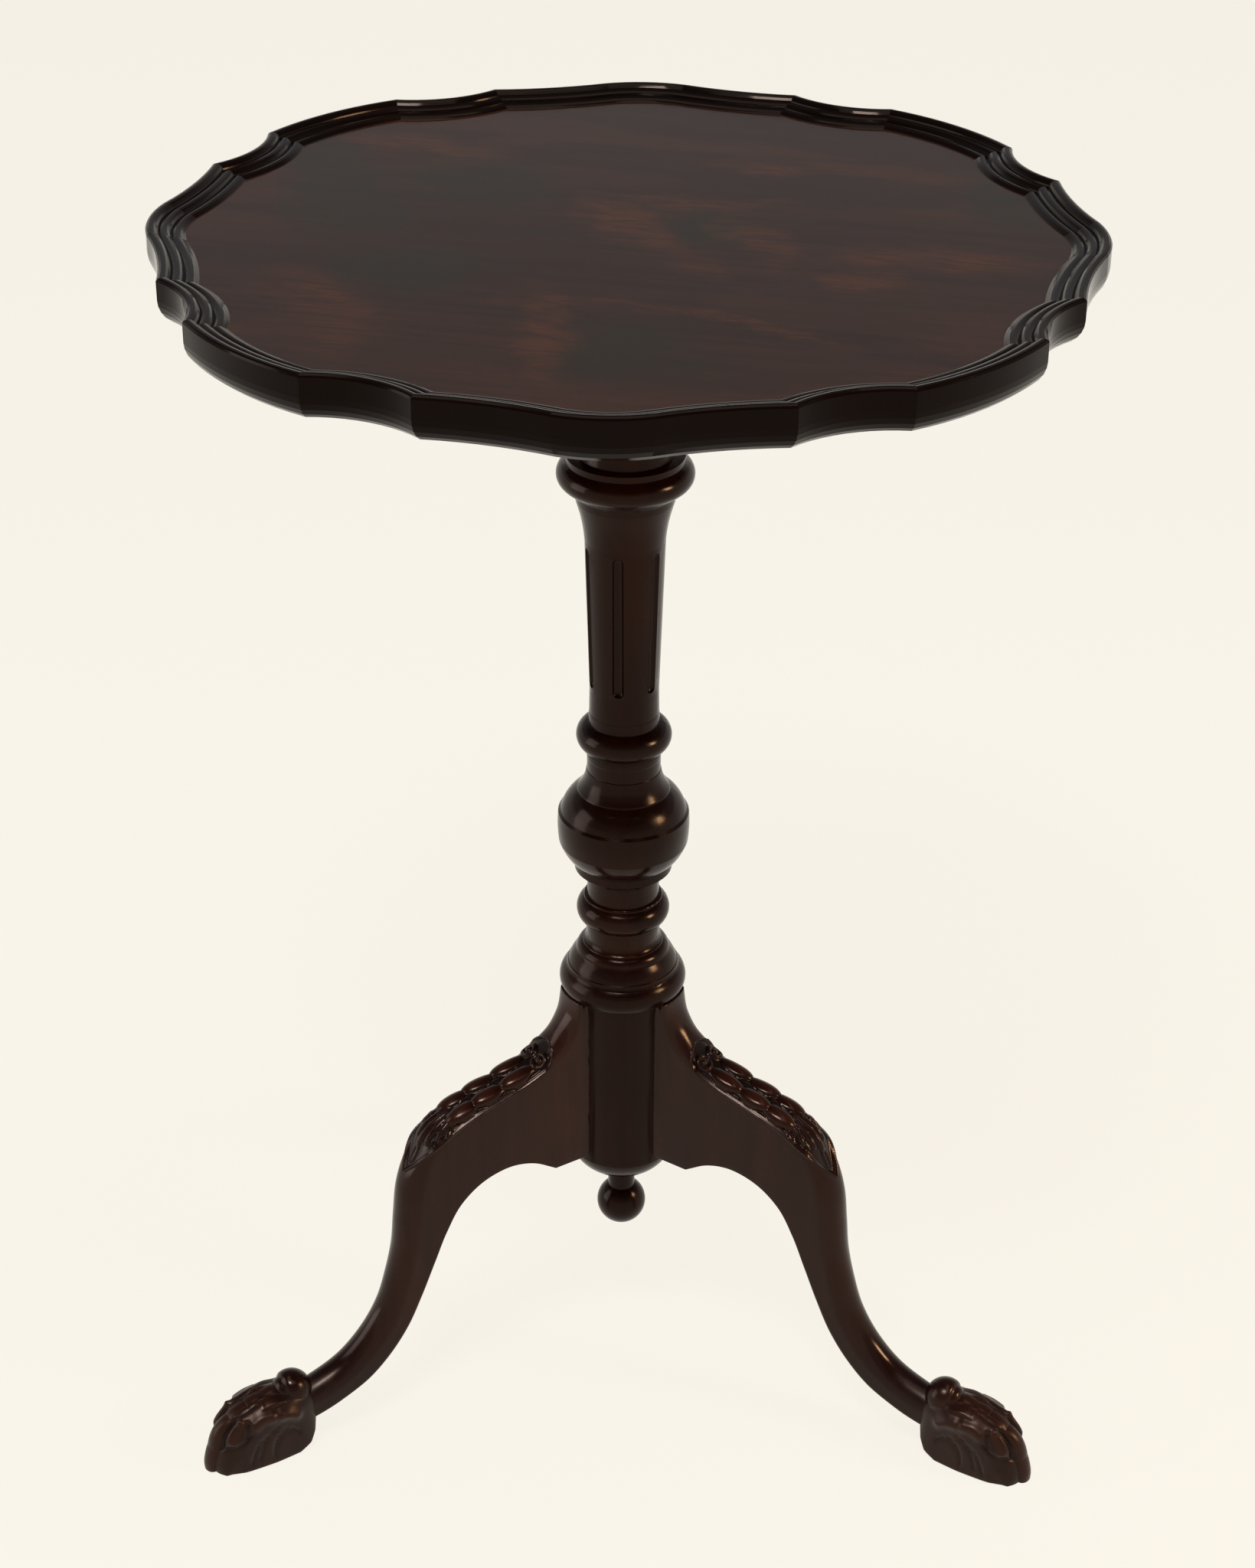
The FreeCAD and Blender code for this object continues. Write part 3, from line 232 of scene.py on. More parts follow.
def mahogany(name, grain_turn, dark, light, ribbons=0.35, gloss=0.15, drift=0.1, wax_and_shade=0.7, specular=0.15,
             own_figure=None, own_dullness=None):
    """A wood material: the figure turned to the board's grain, then rubbed with polish. Old shellac shines at
    a low angle and hardly at all from straight ahead, and there its stain tints the shine, so the specular
    level is low and warm. A board that has marks of its own gives a function that lays them over its colour,
    and one with dull places gives a function for the roughness that they add."""
    material = bpy.data.materials.new(name)
    material.use_nodes = True
    tree = material.node_tree
    shader = tree.nodes["Principled BSDF"]
    place_on = add_node(tree, "TexCoord").outputs["Object"]
    grain = add_node(tree, "Mapping", {"Vector": place_on, "Rotation": grain_turn}).outputs[0]
    wood = add_group(tree, figure_group, {"Vector": grain, "Dark": (*dark, 1.0), "Light": (*light, 1.0),
                                          "Clouds": CLOUD_SHARE, "Ribbons": ribbons, "Pores": PORE_SHARE})
    colour = wood.outputs["Color"]
    if own_figure:
        colour = own_figure(tree, place_on, colour)
    polish = add_group(tree, polish_group, {"Vector": grain, "Color": colour,
                                            "Pore Mask": wood.outputs["Pore Mask"], "Gloss": gloss,
                                            "Drift": drift, "Wax And Shade": wax_and_shade})
    bump = add_node(tree, "Bump", {"Height": polish.outputs["Height"], "Strength": POLISH_BUMP_SHARE,
                                   "Distance": POLISH_BUMP_DEPTH})
    tree.links.new(polish.outputs["Color"], shader.inputs["Base Color"])
    roughness = polish.outputs["Roughness"]
    if own_dullness:
        roughness = maths(tree, "ADD", roughness, own_dullness(tree, place_on), clamp=True)
    tree.links.new(roughness, shader.inputs["Roughness"])
    tree.links.new(bump.outputs["Normal"], shader.inputs["Normal"])
    shader.inputs["Specular IOR Level"].default_value = specular
    shader.inputs["Specular Tint"].default_value = SHELLAC_TINT
    return material


print("board recipe ready")

# %% [markdown]
# ## Marks of the tray and the legs
#
# The tray's board has orange and greenish patches, which are placed one by one. Its mouldings and edge are
# painted nearly black as shade, and its underside was never polished. The legs' gouge cuts are painted dark
# as shade, their feet are darker towards the floor, and the feet are worn dull.

# %% The tray's own figure
# Middle of each patch in the board, its two radii and its turn in degrees, in metres on the table's plan
LIGHT_PATCHES = (
    ((0.005, 0.020), (0.020, 0.050), 25), ((0.068, -0.004), (0.016, 0.036), 18),
    ((0.040, 0.058), (0.045, 0.010), -4), ((0.155, -0.030), (0.055, 0.020), -12),
    ((0.118, -0.055), (0.014, 0.018), 0), ((-0.040, -0.125), (0.014, 0.06), 8),
    ((-0.030, -0.088), (0.034, 0.008), 0), ((0.050, -0.112), (0.060, 0.006), -26),
    ((0.030, -0.040), (0.014, 0.022), 35), ((-0.105, 0.140), (0.045, 0.018), -20),
    ((-0.150, -0.100), (0.030, 0.060), 20), ((0.110, 0.105), (0.070, 0.014), -10))
DARK_PATCHES = (
    ((-0.150, 0.075), (0.030, 0.090), 12), ((-0.075, 0.085), (0.040, 0.050), 30),
    ((0.045, 0.020), (0.018, 0.028), 0), ((-0.105, -0.045), (0.040, 0.035), 20),
    ((0.005, -0.150), (0.040, 0.040), 20), ((0.190, 0.060), (0.020, 0.06), 20))
FIELD_TOP = 0.6938
TRAY_GRAIN = (0.0, 0.0, math.radians(12))
ORANGE, GREENISH = (0.046, 0.0125, 0.0052, 1.0), (0.009, 0.0075, 0.004, 1.0)
BARE_DARK, BARE_LIGHT = (0.04, 0.019, 0.011, 1.0), (0.075, 0.038, 0.023, 1.0)
# Painted shade: the nearly black colour laid on the tray's mouldings and on its upright edge
PAINTED_RIM_SHADE = (0.0012, 0.0006, 0.0005, 1.0)
# How far the ragged edges of the patches wander from the ellipses, along, across and up
WANDER = (0.09, 0.045, 0.0)


def patch_mask(tree, vector, patches):
    """How far inside any of some soft ellipses a point lies, on plan: 1 in the middle, 0 from the edge on.
    Each ellipse is a Mapping node that turns it into a unit circle, whose distance is then eased."""
    total = None
    for (x, y), (wide, deep), degrees in patches:
        circle = add_node(tree, "Mapping", {"Vector": vector, "Location": (x, y, FIELD_TOP),
                                            "Rotation": (0.0, 0.0, math.radians(degrees)),
                                            "Scale": (wide, deep, 1.0)}, vector_type="TEXTURE").outputs[0]
        flat = add_node(tree, "VectorMath", {0: circle, 1: (1.0, 1.0, 0.0)}, operation="MULTIPLY").outputs[0]
        away = add_node(tree, "VectorMath", {0: flat}, operation="LENGTH").outputs["Value"]
        share = ramp_value(tree, away, 1.35, 0.35)
        total = share if total is None else maths(tree, "MAXIMUM", total, share)
    return total


def facing_up(tree):
    """How far the face looks up: 1 for a level face, 0 for an upright one and -1 for an underside."""
    return height_of(tree, add_node(tree, "TexCoord").outputs["Normal"])


def tray_dullness(tree, place_on):
    """The underside was never polished."""
    return ramp_value(tree, facing_up(tree), -0.8, -0.97, 0.0, 0.45)


def patched(tree, place_on, colour):
    """The board's patches: soft ellipses whose places wander with a noise, broken up along the grain."""
    ragged = add_node(tree, "TexNoise", {"Vector": place_on, "Scale": 16.0, "Detail": 5.0, "Roughness": 0.6})
    shift = add_node(tree, "VectorMath", {0: ragged.outputs["Color"], 1: (0.5, 0.5, 0.5)},
                     operation="SUBTRACT")
    shift = add_node(tree, "VectorMath", {0: shift.outputs[0], 1: WANDER}, operation="MULTIPLY")
    moved = add_node(tree, "VectorMath", {0: place_on, 1: shift.outputs[0]}).outputs[0]
    broken = ramp_value(tree, ragged.outputs["Fac"], 0.3, 0.6, 0.35, 1.0)
    along = add_node(tree, "Mapping", {"Vector": place_on, "Rotation": TRAY_GRAIN}).outputs[0]
    streaks = stretched_noise(tree, along, (30.0, 210.0, 210.0), 5.0, 0.65, 1.2)
    broken = maths(tree, "MULTIPLY", broken, ramp_value(tree, streaks, 0.38, 0.6, 0.2))
    light = maths(tree, "MULTIPLY", patch_mask(tree, moved, LIGHT_PATCHES), broken)
    dark = patch_mask(tree, moved, DARK_PATCHES)
    colour = blend_colour(tree, maths(tree, "MULTIPLY", dark, 0.7), colour, GREENISH)
    return blend_colour(tree, maths(tree, "MULTIPLY", light, 0.8), colour, ORANGE)


def tray_figure(tree, place_on, colour):
    """The patches of this one board, bare wood on its underside, and painted shade, nearly black, on the
    mouldings, which stand above the level field, and on the edge, which looks sideways."""
    colour = patched(tree, place_on, colour)
    along = add_node(tree, "Mapping", {"Vector": place_on, "Rotation": TRAY_GRAIN}).outputs[0]
    bands = ramp_value(tree, stretched_noise(tree, along, (4.0, 70.0, 70.0), 5.0, 0.6, 0.4), 0.35, 0.65)
    plain = blend_colour(tree, bands, BARE_DARK, BARE_LIGHT)
    level = facing_up(tree)
    colour = blend_colour(tree, ramp_value(tree, level, -0.8, -0.97), colour, plain)
    # Painted shade: the mouldings above the field and the faces that look sideways are darkened nearly to
    # black
    raised = ramp_value(tree, height_of(tree, place_on), FIELD_TOP + 0.0001, FIELD_TOP + 0.0005)
    sideways = ramp_value(tree, maths(tree, "ABSOLUTE", level), 0.95, 0.5)
    edge = maths(tree, "MAXIMUM", maths(tree, "MULTIPLY", raised, 0.9),
                 maths(tree, "MULTIPLY", sideways, 0.97))
    return blend_colour(tree, edge, colour, PAINTED_RIM_SHADE)


print("patches:", len(LIGHT_PATCHES), "light,", len(DARK_PATCHES), "dark")


# %% The legs' own figure
# The gouge-dark colour is painted shade in the cuts, and also darkens the legs towards the floor
RUBBED_RED, GOUGE_DARK = (0.032, 0.0085, 0.004, 1.0), (0.0035, 0.0015, 0.001, 1.0)


def foot_dullness(tree, place_on):
    """Near the floor the polish has worn dull."""
    return ramp_value(tree, height_of(tree, place_on), 0.052, 0.03, 0.0, 0.2)


def leg_figure(tree, place_on, colour):
    """Painted shade in the gouge cuts and wood rubbed redder on what stands up, by the leg's own carving
    depth in millimetres, which is kept on its vertices. The legs are also darker towards the floor."""
    depth = add_node(tree, "Attribute", attribute_name="carving").outputs["Fac"]
    cut, proud = ramp_value(tree, depth, -0.1, -0.8), ramp_value(tree, depth, 0.5, 2.0)
    colour = blend_colour(tree, maths(tree, "MULTIPLY", proud, 0.5), colour, RUBBED_RED)
    # Darker towards the floor, by height alone
    low = ramp_value(tree, height_of(tree, place_on), 0.09, 0.03, 0.0, 0.4)
    # Painted shade: the cuts are darkened by their depth
    dark = maths(tree, "MAXIMUM", maths(tree, "MULTIPLY", cut, 0.85), low)
    return blend_colour(tree, dark, colour, GOUGE_DARK)


print("leg figure ready")

# %% The table's five woods
ALONG_X, ALONG_Y, ALONG_Z = (0.0, 0.0, 0.0), (0.0, 0.0, math.radians(90)), (0.0, math.radians(90), 0.0)
tray_wood = mahogany("tray_mahogany", TRAY_GRAIN, (0.013, 0.0052, 0.003), (0.027, 0.009, 0.0045), gloss=0.07,
                     drift=0.06, specular=0.09, own_figure=tray_figure, own_dullness=tray_dullness)
column_wood = mahogany("column_mahogany", ALONG_Z, (0.004, 0.0007, 0.0003), (0.014, 0.003, 0.001),
                       ribbons=0.25, gloss=0.14, specular=0.15)
leg_wood = mahogany("leg_mahogany", ALONG_Z, (0.008, 0.0018, 0.0012), (0.021, 0.0056, 0.0034), ribbons=0.2,
                    gloss=0.13, specular=0.22, own_figure=leg_figure, own_dullness=foot_dullness)
bearer_wood = mahogany("bearer_wood", ALONG_Y, (0.05, 0.024, 0.013), (0.16, 0.075, 0.04), gloss=0.5, wax_and_shade=0.5)
block_wood = mahogany("block_mahogany", ALONG_X, (0.03, 0.014, 0.009), (0.1, 0.042, 0.022), gloss=0.4)
print("woods:", len(bpy.data.materials))


# %% Brass and steel
TARNISH_SHARE, TARNISH_DULLNESS = 0.45, 0.25


def metal(name, colour, roughness):
    """A rubbed metal, with a drift of tarnish in its colour and gloss."""
    material = bpy.data.materials.new(name)
    material.use_nodes = True
    tree = material.node_tree
    shader = tree.nodes["Principled BSDF"]
    place_on = add_node(tree, "TexCoord").outputs["Object"]
    cloud = stretched_noise(tree, place_on, (180.0, 180.0, 180.0), 4.0, 0.6)
    tarnish = ramp_value(tree, cloud, 0.4, 0.7)
    dull = tuple(TARNISH_SHARE * channel for channel in colour)
    tree.links.new(blend_colour(tree, tarnish, (*colour, 1.0), (*dull, 1.0)), shader.inputs["Base Color"])
    dullness = ramp_value(tree, cloud, 0.3, 0.75, roughness, roughness + TARNISH_DULLNESS)
    tree.links.new(dullness, shader.inputs["Roughness"])
    shader.inputs["Metallic"].default_value = 1.0
    return material


brass = metal("old_brass", (0.72, 0.48, 0.19), 0.28)
steel = metal("dark_steel", (0.32, 0.31, 0.30), 0.38)
print("materials:", len(bpy.data.materials))

# %% Finish for each measured node
FINISHES = {
    "tray_top": tray_wood, "column": column_wood, "pendant_finial": column_wood, "block": block_wood,
    "tenon_wedge": block_wood, "bearer_left": bearer_wood, "bearer_right": bearer_wood,
    "leg_right": leg_wood, "leg_back": leg_wood, "leg_left": leg_wood,
    "bearer_screws": steel, "pivot_rod": steel, "catch_case": brass, "catch_screws": brass,
    "catch_bolt": brass, "catch_knob": brass, "keeper_plate": brass, "keeper_screws": brass,
}
for node_name, finish in FINISHES.items():
    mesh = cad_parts[node_name].data
    mesh.materials.clear()
    mesh.materials.append(finish)
print("finished nodes:", len(FINISHES))

# %% [markdown]
# ## The legs, before carving
#
# A cabriole leg is sawn from a board, so its sides are flat, and then its upper edge is rounded and carved.
# Its whole form is two lines seen from the side, the crest and the underside, and a width. A row of the table
# gives both lines at one place, and a smooth curve runs through the rows. Each cross-section then stands on
# the underside and reaches up to the crest. At the knee the section is flatter on top, because a carver wants
# a broad field there.

# %% A smooth line through points
def smooth_line(points, where=None, count=0):
    """The curve through the points at distances along them: between two points a cubic, whose slope at each
    point is that of the parabola through it and its two neighbours."""
    points = np.asarray(points, float)
    at = np.concatenate([[0.0], np.cumsum(np.linalg.norm(np.diff(points[:, :2], axis=0), axis=1))])
    slope = np.gradient(points, at, axis=0)
    where = np.linspace(0.0, at[-1], count) if where is None else where
    i = np.clip(np.searchsorted(at, where, side="right") - 1, 0, len(points) - 2)
    step = (at[i + 1] - at[i])[:, None]
    t = (where[:, None] - at[i][:, None]) / step
    return ((1 + 2 * t) * (1 - t)**2 * points[i] + t * (1 - t)**2 * step * slope[i]
            + t**2 * (3 - 2 * t) * points[i + 1] + t**2 * (t - 1) * step * slope[i + 1])


def ease(x, low, high):
    """0 below low, 1 above high, and 3t^2 - 2t^3 between."""
    t = np.clip((x - low) / (high - low), 0.0, 1.0)
    return t * t * (3 - 2 * t)


print("a smooth line through three points:", smooth_line([(0, 0), (1, 1), (2, 0)], count=5)[:, 1].round(2))

# %% The leg's lines
REACH, LEG_TOP, LEG_HALF = 0.275, 0.250, 0.0122
# The round stile that the leg is let into, and the height at which the leg's underside meets it
STILE_RADIUS, STILE_MEETING = 0.031, 0.143
# Shares of the reach and of the leg's top: the crest, the underside that faces it, and the half width
LEG_ROWS = np.array([
    (0.1, 1.15, 0.055, 0.568, 1.0), (0.1235, 1.048, 0.08, 0.568, 1.0), (0.1385, 0.965, 0.105, 0.568, 1.0),
    (0.163, 0.922, 0.135, 0.568, 1.0), (0.2016, 0.891, 0.167, 0.568, 1.0),
    (0.2535, 0.864, 0.2036, 0.584, 1.0), (0.316, 0.841, 0.24, 0.602, 1.01),
    (0.378, 0.819, 0.28, 0.614, 1.03), (0.432, 0.792, 0.316, 0.611, 1.05),
    (0.4764, 0.758, 0.349, 0.6, 1.05), (0.509, 0.692, 0.378, 0.58, 1.03),
    (0.529, 0.62, 0.4035, 0.55, 1.0), (0.538, 0.54, 0.424, 0.512, 0.97),
    (0.5465, 0.452, 0.447, 0.46, 0.94), (0.5625, 0.38, 0.4755, 0.379, 0.91),
    (0.585, 0.309, 0.514, 0.285, 0.9), (0.6275, 0.239, 0.573, 0.181, 0.88),
    (0.675, 0.192, 0.635, 0.124, 0.87), (0.741, 0.159, 0.717, 0.083, 0.87), (0.81, 0.14, 0.8, 0.06, 0.75)])
ARCH_ROWS = np.array([
    (0.182, 0.567), (0.196, 0.577), (0.229, 0.599), (0.291, 0.6142), (0.353, 0.5975), (0.4025, 0.5535),
    (0.437, 0.4865), (0.465, 0.41), (0.4965, 0.3255), (0.532, 0.245), (0.5755, 0.1805), (0.624, 0.1325),
    (0.688, 0.0975), (0.7855, 0.062), (0.81, 0.055)])
# Distances along the crest: close together where the knee is carved, wider apart elsewhere
leg_length = np.linalg.norm(np.diff(LEG_ROWS[:, :2] * (REACH, LEG_TOP), axis=0), axis=1).sum()
stations = np.concatenate([np.arange(0.0, 0.060, 0.0015), np.arange(0.060, 0.190, 0.0004),
                           np.arange(0.190, leg_length, 0.0015)])
lines = smooth_line(LEG_ROWS * (REACH, LEG_TOP, REACH, LEG_TOP, LEG_HALF), stations)
arch = smooth_line(ARCH_ROWS * (REACH, LEG_TOP), count=600)
crest = lines[:, :2]
under_height = np.where(lines[:, 2] < arch[0, 0],
                        np.interp(lines[:, 2], [STILE_RADIUS, arch[0, 0]], [STILE_MEETING, arch[0, 1]]),
                        np.interp(lines[:, 2], arch[:, 0], arch[:, 1]))
underside = np.stack([lines[:, 2], under_height], axis=1)
leg_half = lines[:, 4]
print("leg:", len(stations), "sections along", round(float(leg_length), 4), "m")


# %% Sections
def bell_outline(half, rise, top, power, corner, counts=(4, 7, 12, 34)):
    """Half of a section, from the middle of its foot, round the lower corner and up the side to its top: a
    quarter circle at the corner, then a straight side, then a superellipse |a/half|^n + |h/top|^n = 1 above
    the shoulder. Returns across and height, one row for each station."""
    half, rise, top, power, corner = (np.asarray(v, float)[:, None] for v in (half, rise, top, power, corner))
    foot = np.linspace(0, 1, counts[0], endpoint=False) * (half - corner)
    turn = np.linspace(0, math.pi / 2, counts[1], endpoint=False)
    side = corner + np.linspace(0, 1, counts[2], endpoint=False) * (rise - corner)
    sweep = np.linspace(0, math.pi / 2, counts[3])
    reach = (np.cos(sweep)**power + np.sin(sweep)**power)**(-1 / power)
    across = np.concatenate([foot, half - corner + corner * np.sin(turn), half + 0 * side,
                             half * reach * np.cos(sweep)], axis=1)
    height = np.concatenate([0 * foot, corner - corner * np.cos(turn), side,
                             rise + top * reach * np.sin(sweep)], axis=1)
    return across, height


def sweep_sections(low, high, half, top, power, corner):
    """A grid of points: each section stands from the low line to the high line, its across along Y. The other
    half is the mirror image, so a ring runs once round."""
    span = np.linalg.norm(high - low, axis=1)
    up = (high - low) / span[:, None]
    across, height = bell_outline(half, span - top, top, power, corner)
    across = np.concatenate([across, -across[:, -2:0:-1]], axis=1)
    height = np.concatenate([height, height[:, -2:0:-1]], axis=1)
    place = low[:, None, :] + up[:, None, :] * height[:, :, None]
    return np.stack([place[:, :, 0], across, place[:, :, 1]], axis=2)


def grid_normals(grid):
    """Unit normals of a grid whose second direction is closed: the cross product of the two slopes."""
    along = np.gradient(grid, axis=0)
    around = np.roll(grid, -1, axis=1) - np.roll(grid, 1, axis=1)
    normal = np.cross(around, along)
    return normal / (np.linalg.norm(normal, axis=2, keepdims=True) + 1e-12)


# On the knee, between these distances along the crest, the crown is lower and its section squarer
KNEE_FLATTENING = 0.28
knee = ease(stations, 0.058, 0.075) * (1 - ease(stations, 0.165, 0.195))
crown = leg_half * (1 - KNEE_FLATTENING * knee)
span = np.linalg.norm(crest - underside, axis=1)
high = underside + (crest - underside) * ((span - leg_half + crown) / span)[:, None]
lower_corner = 0.001 + 0.0016 * ease(stations, 0.20, 0.30)
blade = sweep_sections(underside, high, leg_half, crown, 2 + knee, lower_corner)
print("blade grid:", blade.shape)

# %% [markdown]
# ## Carving the knee
#
# Carving is drawn first and cut second. The drawing is made on the crest as if it were unrolled flat: one
# number says how far along the crest a point is, and the other how far it is round from the top line, the
# same on both sides. Every motif adds its own height to the drawing, and then each point of the leg moves out
# along its normal by that height. A sunk ground, a bead round its edge, a pair of rosettes, three pairs of
# lobes with a seed between them and a leaf make up the panel.

# %% Motifs of the knee, in millimetres on the unrolled crest
# The panel: half its width, where its round start and its pointed finish begin, and how long each is
PANEL_HALF, START_AT, START_LENGTH, FINISH_AT, FINISH_LENGTH = 15.2, 76, 9.5, 150, 33.5
GROUND_DEPTH, EDGE_BEAD_RISE, EDGE_BEAD_WIDTH, EDGE_BEAD_INSET = 1.5, 1.4, 3.0, 1.1
# Each pair of lobes: where it is along the crest, how far from the top line, its size and its rise
LOBES_ALONG, LOBE_ASIDE, LOBE_SIZE, LOBE_RISE, LOBE_LEAN = (93.0, 113.0, 131.0), 6.8, (11.8, 6.4), 3.2, 0.3
SEED_BEHIND, SEED_SIZE, SEED_RISE, SEED_LEAN = 10.5, (5.0, 2.6), 1.0, -0.2
ROSETTE_PLACE, ROSETTE_RING, ROSETTE_HEART = (77.0, 6.4), 4.0, (2.3, 2.3)
# The leaf's veins: line on the drawing, width and rise
LEAF_STROKES = (
    (((134, 0), (146, 0), (166, 0)), 4.4, 2.6), (((134, 2.5), (148, 4.2), (161, 5.4)), 4.0, 2.3),
    (((134, 5), (145, 8), (154, 10.6)), 3.8, 2.1), (((158, 0), (168, 1.6), (176, 1.2)), 2.4, 1.2),
    (((136, 9.5), (144, 12), (149, 13.6)), 3.0, 1.4))
CREST_ROUND = 0.019


def dome(s, q, place, size, lean=0.0):
    """An ellipsoid's cap, sqrt(1 - r^2), where r is the distance from its place in units of its size; lean
    makes it higher towards the far end."""
    x, y = (s - place[0]) / size[0], (q - place[1]) / size[1]
    return np.sqrt(np.clip(1 - x**2 - y**2, 0, None)) * (1 + lean * np.clip(x, -1, 1))


def bead(distance, width):
    """A round cord: a half circle of that width over the line where the distance is zero."""
    return np.sqrt(np.clip(1 - (2 * distance / width)**2, 0, None))


def stroke(s, q, points, width, steps=60):
    """A rounded stroke along a line of points, thinning to nothing at both ends."""
    line = smooth_line(points, count=steps)
    apart = np.stack([np.hypot(s - x, q - y) for x, y in line])
    nearest = apart.argmin(axis=0)
    taper = np.sqrt(np.clip(1 - np.abs(2 * nearest / (steps - 1) - 1)**3, 0, 1))
    return bead(apart.min(axis=0), width) * taper


def knee_relief(s, around):
    """The height of the carving over the plain crest: s along it, and how far round from its top line."""
    q = np.abs(around)
    start = PANEL_HALF * np.sqrt(np.clip(1 - (np.clip(START_AT - s, 0, None) / START_LENGTH)**2, 0, 1))
    finish = PANEL_HALF * np.clip(1 - (np.clip(s - FINISH_AT, 0, None) / FINISH_LENGTH)**1.7, 0, 1)
    edge = np.minimum(start, finish)
    inside = ease(edge - q, 0.0, 1.4)
    border = bead(q - edge + EDGE_BEAD_INSET, EDGE_BEAD_WIDTH) * (edge > 0.5)
    height = EDGE_BEAD_RISE * border - GROUND_DEPTH * inside
    ring = bead(np.hypot(s - ROSETTE_PLACE[0], q - ROSETTE_PLACE[1]) - ROSETTE_RING, 2.8)
    lobes = np.maximum(2.0 * ring, 2.5 * dome(s, q, ROSETTE_PLACE, ROSETTE_HEART))
    for place in LOBES_ALONG:
        seed = dome(s, q, (place + SEED_BEHIND, 0.0), SEED_SIZE, SEED_LEAN)
        lobe = dome(s, q, (place, LOBE_ASIDE), LOBE_SIZE, LOBE_LEAN)
        lobes = np.maximum(lobes, np.maximum(LOBE_RISE * lobe, SEED_RISE * seed))
    for points, width, rise in LEAF_STROKES:
        lobes = np.maximum(lobes, rise * stroke(s, q, points, width))
    return height + lobes * inside


crest_round = np.concatenate([np.zeros((len(stations), 1)),
                              np.cumsum(np.linalg.norm(np.diff(blade, axis=1), axis=2), axis=1)], axis=1)
top_column = blade.shape[1] // 2
around = crest_round - crest_round[:, top_column:top_column + 1]
s_grid = np.repeat(stations[:, None], blade.shape[1], axis=1)
on_crest = np.abs(around) < CREST_ROUND
relief = np.where(on_crest, knee_relief(1000 * s_grid, 1000 * around), 0.0) / 1000
carved_blade = blade + grid_normals(blade) * relief[:, :, None]
# The leg ends flat under the column's lowest ring, and its inner end follows the round stile
carved_blade[:, :, 2] = np.minimum(carved_blade[:, :, 2], LEG_TOP)
stile_face = np.sqrt(np.clip((STILE_RADIUS - 0.0001)**2 - carved_blade[:, :, 1]**2, 0, None))
carved_blade[:, :, 0] = np.maximum(carved_blade[:, :, 0], stile_face)
print("knee relief from", round(1000 * relief.min(), 2), "to", round(1000 * relief.max(), 2), "mm")

# %% [markdown]
# ## The claw foot
#
# The foot is one lump of the same board, rounded like a paw, with a ball where the ankle ends. The plain lump
# is swept like the leg. Its toes and the lines behind them are then cut by a list of strokes: each is a line
# seen from the side, a height that is raised if positive and cut if negative, a width, and how near the
# middle of the foot it lies.

# %% The foot's lump
# The top line, along and up, with the half width, and the sole under it, in millimetres
FOOT_TOP_ROWS = np.array([
    (206.0, 34.0, 7.4), (208.0, 37.0, 9.4), (213.0, 40.6, 12.0), (220.5, 42.0, 14.0), (233.8, 40.4, 15.0),
    (247.5, 36.6, 15.6), (256.0, 31.4, 15.4), (262.0, 25.0, 14.8), (266.0, 17.0, 13.8), (268.2, 9.0, 12.6),
    (268.9, 4.0, 11.8), (268.8, 0.8, 11.2)]) / 1000
FOOT_LOW_ROWS = np.array([
    (205.6, 24.5), (206.6, 18.5), (208.4, 10.6), (211.8, 4.8), (219.0, 0.8), (234.0, 0.0), (248.0, 0.0),
    (257.0, 0.0), (262.5, 0.0), (266.0, 0.0), (267.4, 0.0), (268.0, 0.0)]) / 1000
FOOT_STEPS = 190
top_line = smooth_line(FOOT_TOP_ROWS, count=FOOT_STEPS)
rows_at = np.concatenate([[0.0], np.cumsum(np.linalg.norm(np.diff(FOOT_TOP_ROWS[:, :2], axis=0), axis=1))])
even = np.linspace(0.0, rows_at[-1], FOOT_STEPS)
low_line = np.stack([np.interp(even, rows_at, column) for column in FOOT_LOW_ROWS.T], axis=1)
foot_half = top_line[:, 2]
foot_span = np.linalg.norm(top_line[:, :2] - low_line, axis=1)
foot_crown = np.minimum(foot_half * 0.85, 0.6 * foot_span)
foot_corner = np.minimum(0.002, 0.2 * foot_span)
paw_power = np.full(FOOT_STEPS, 2.6)
foot = sweep_sections(low_line, top_line[:, :2], foot_half, foot_crown, paw_power, foot_corner)
# Seen from above, the front is round: its corners lie farther back than its middle
FRONT_ROUNDING, FRONT_HALF = 0.0055, 0.0125
off_middle = np.clip(np.abs(foot[:, :, 1]) / FRONT_HALF, 0, 1.2)
foot[:, :, 0] -= FRONT_ROUNDING * ease(foot[:, :, 0], 0.250, 0.268) * off_middle**3
print("foot grid:", foot.shape)

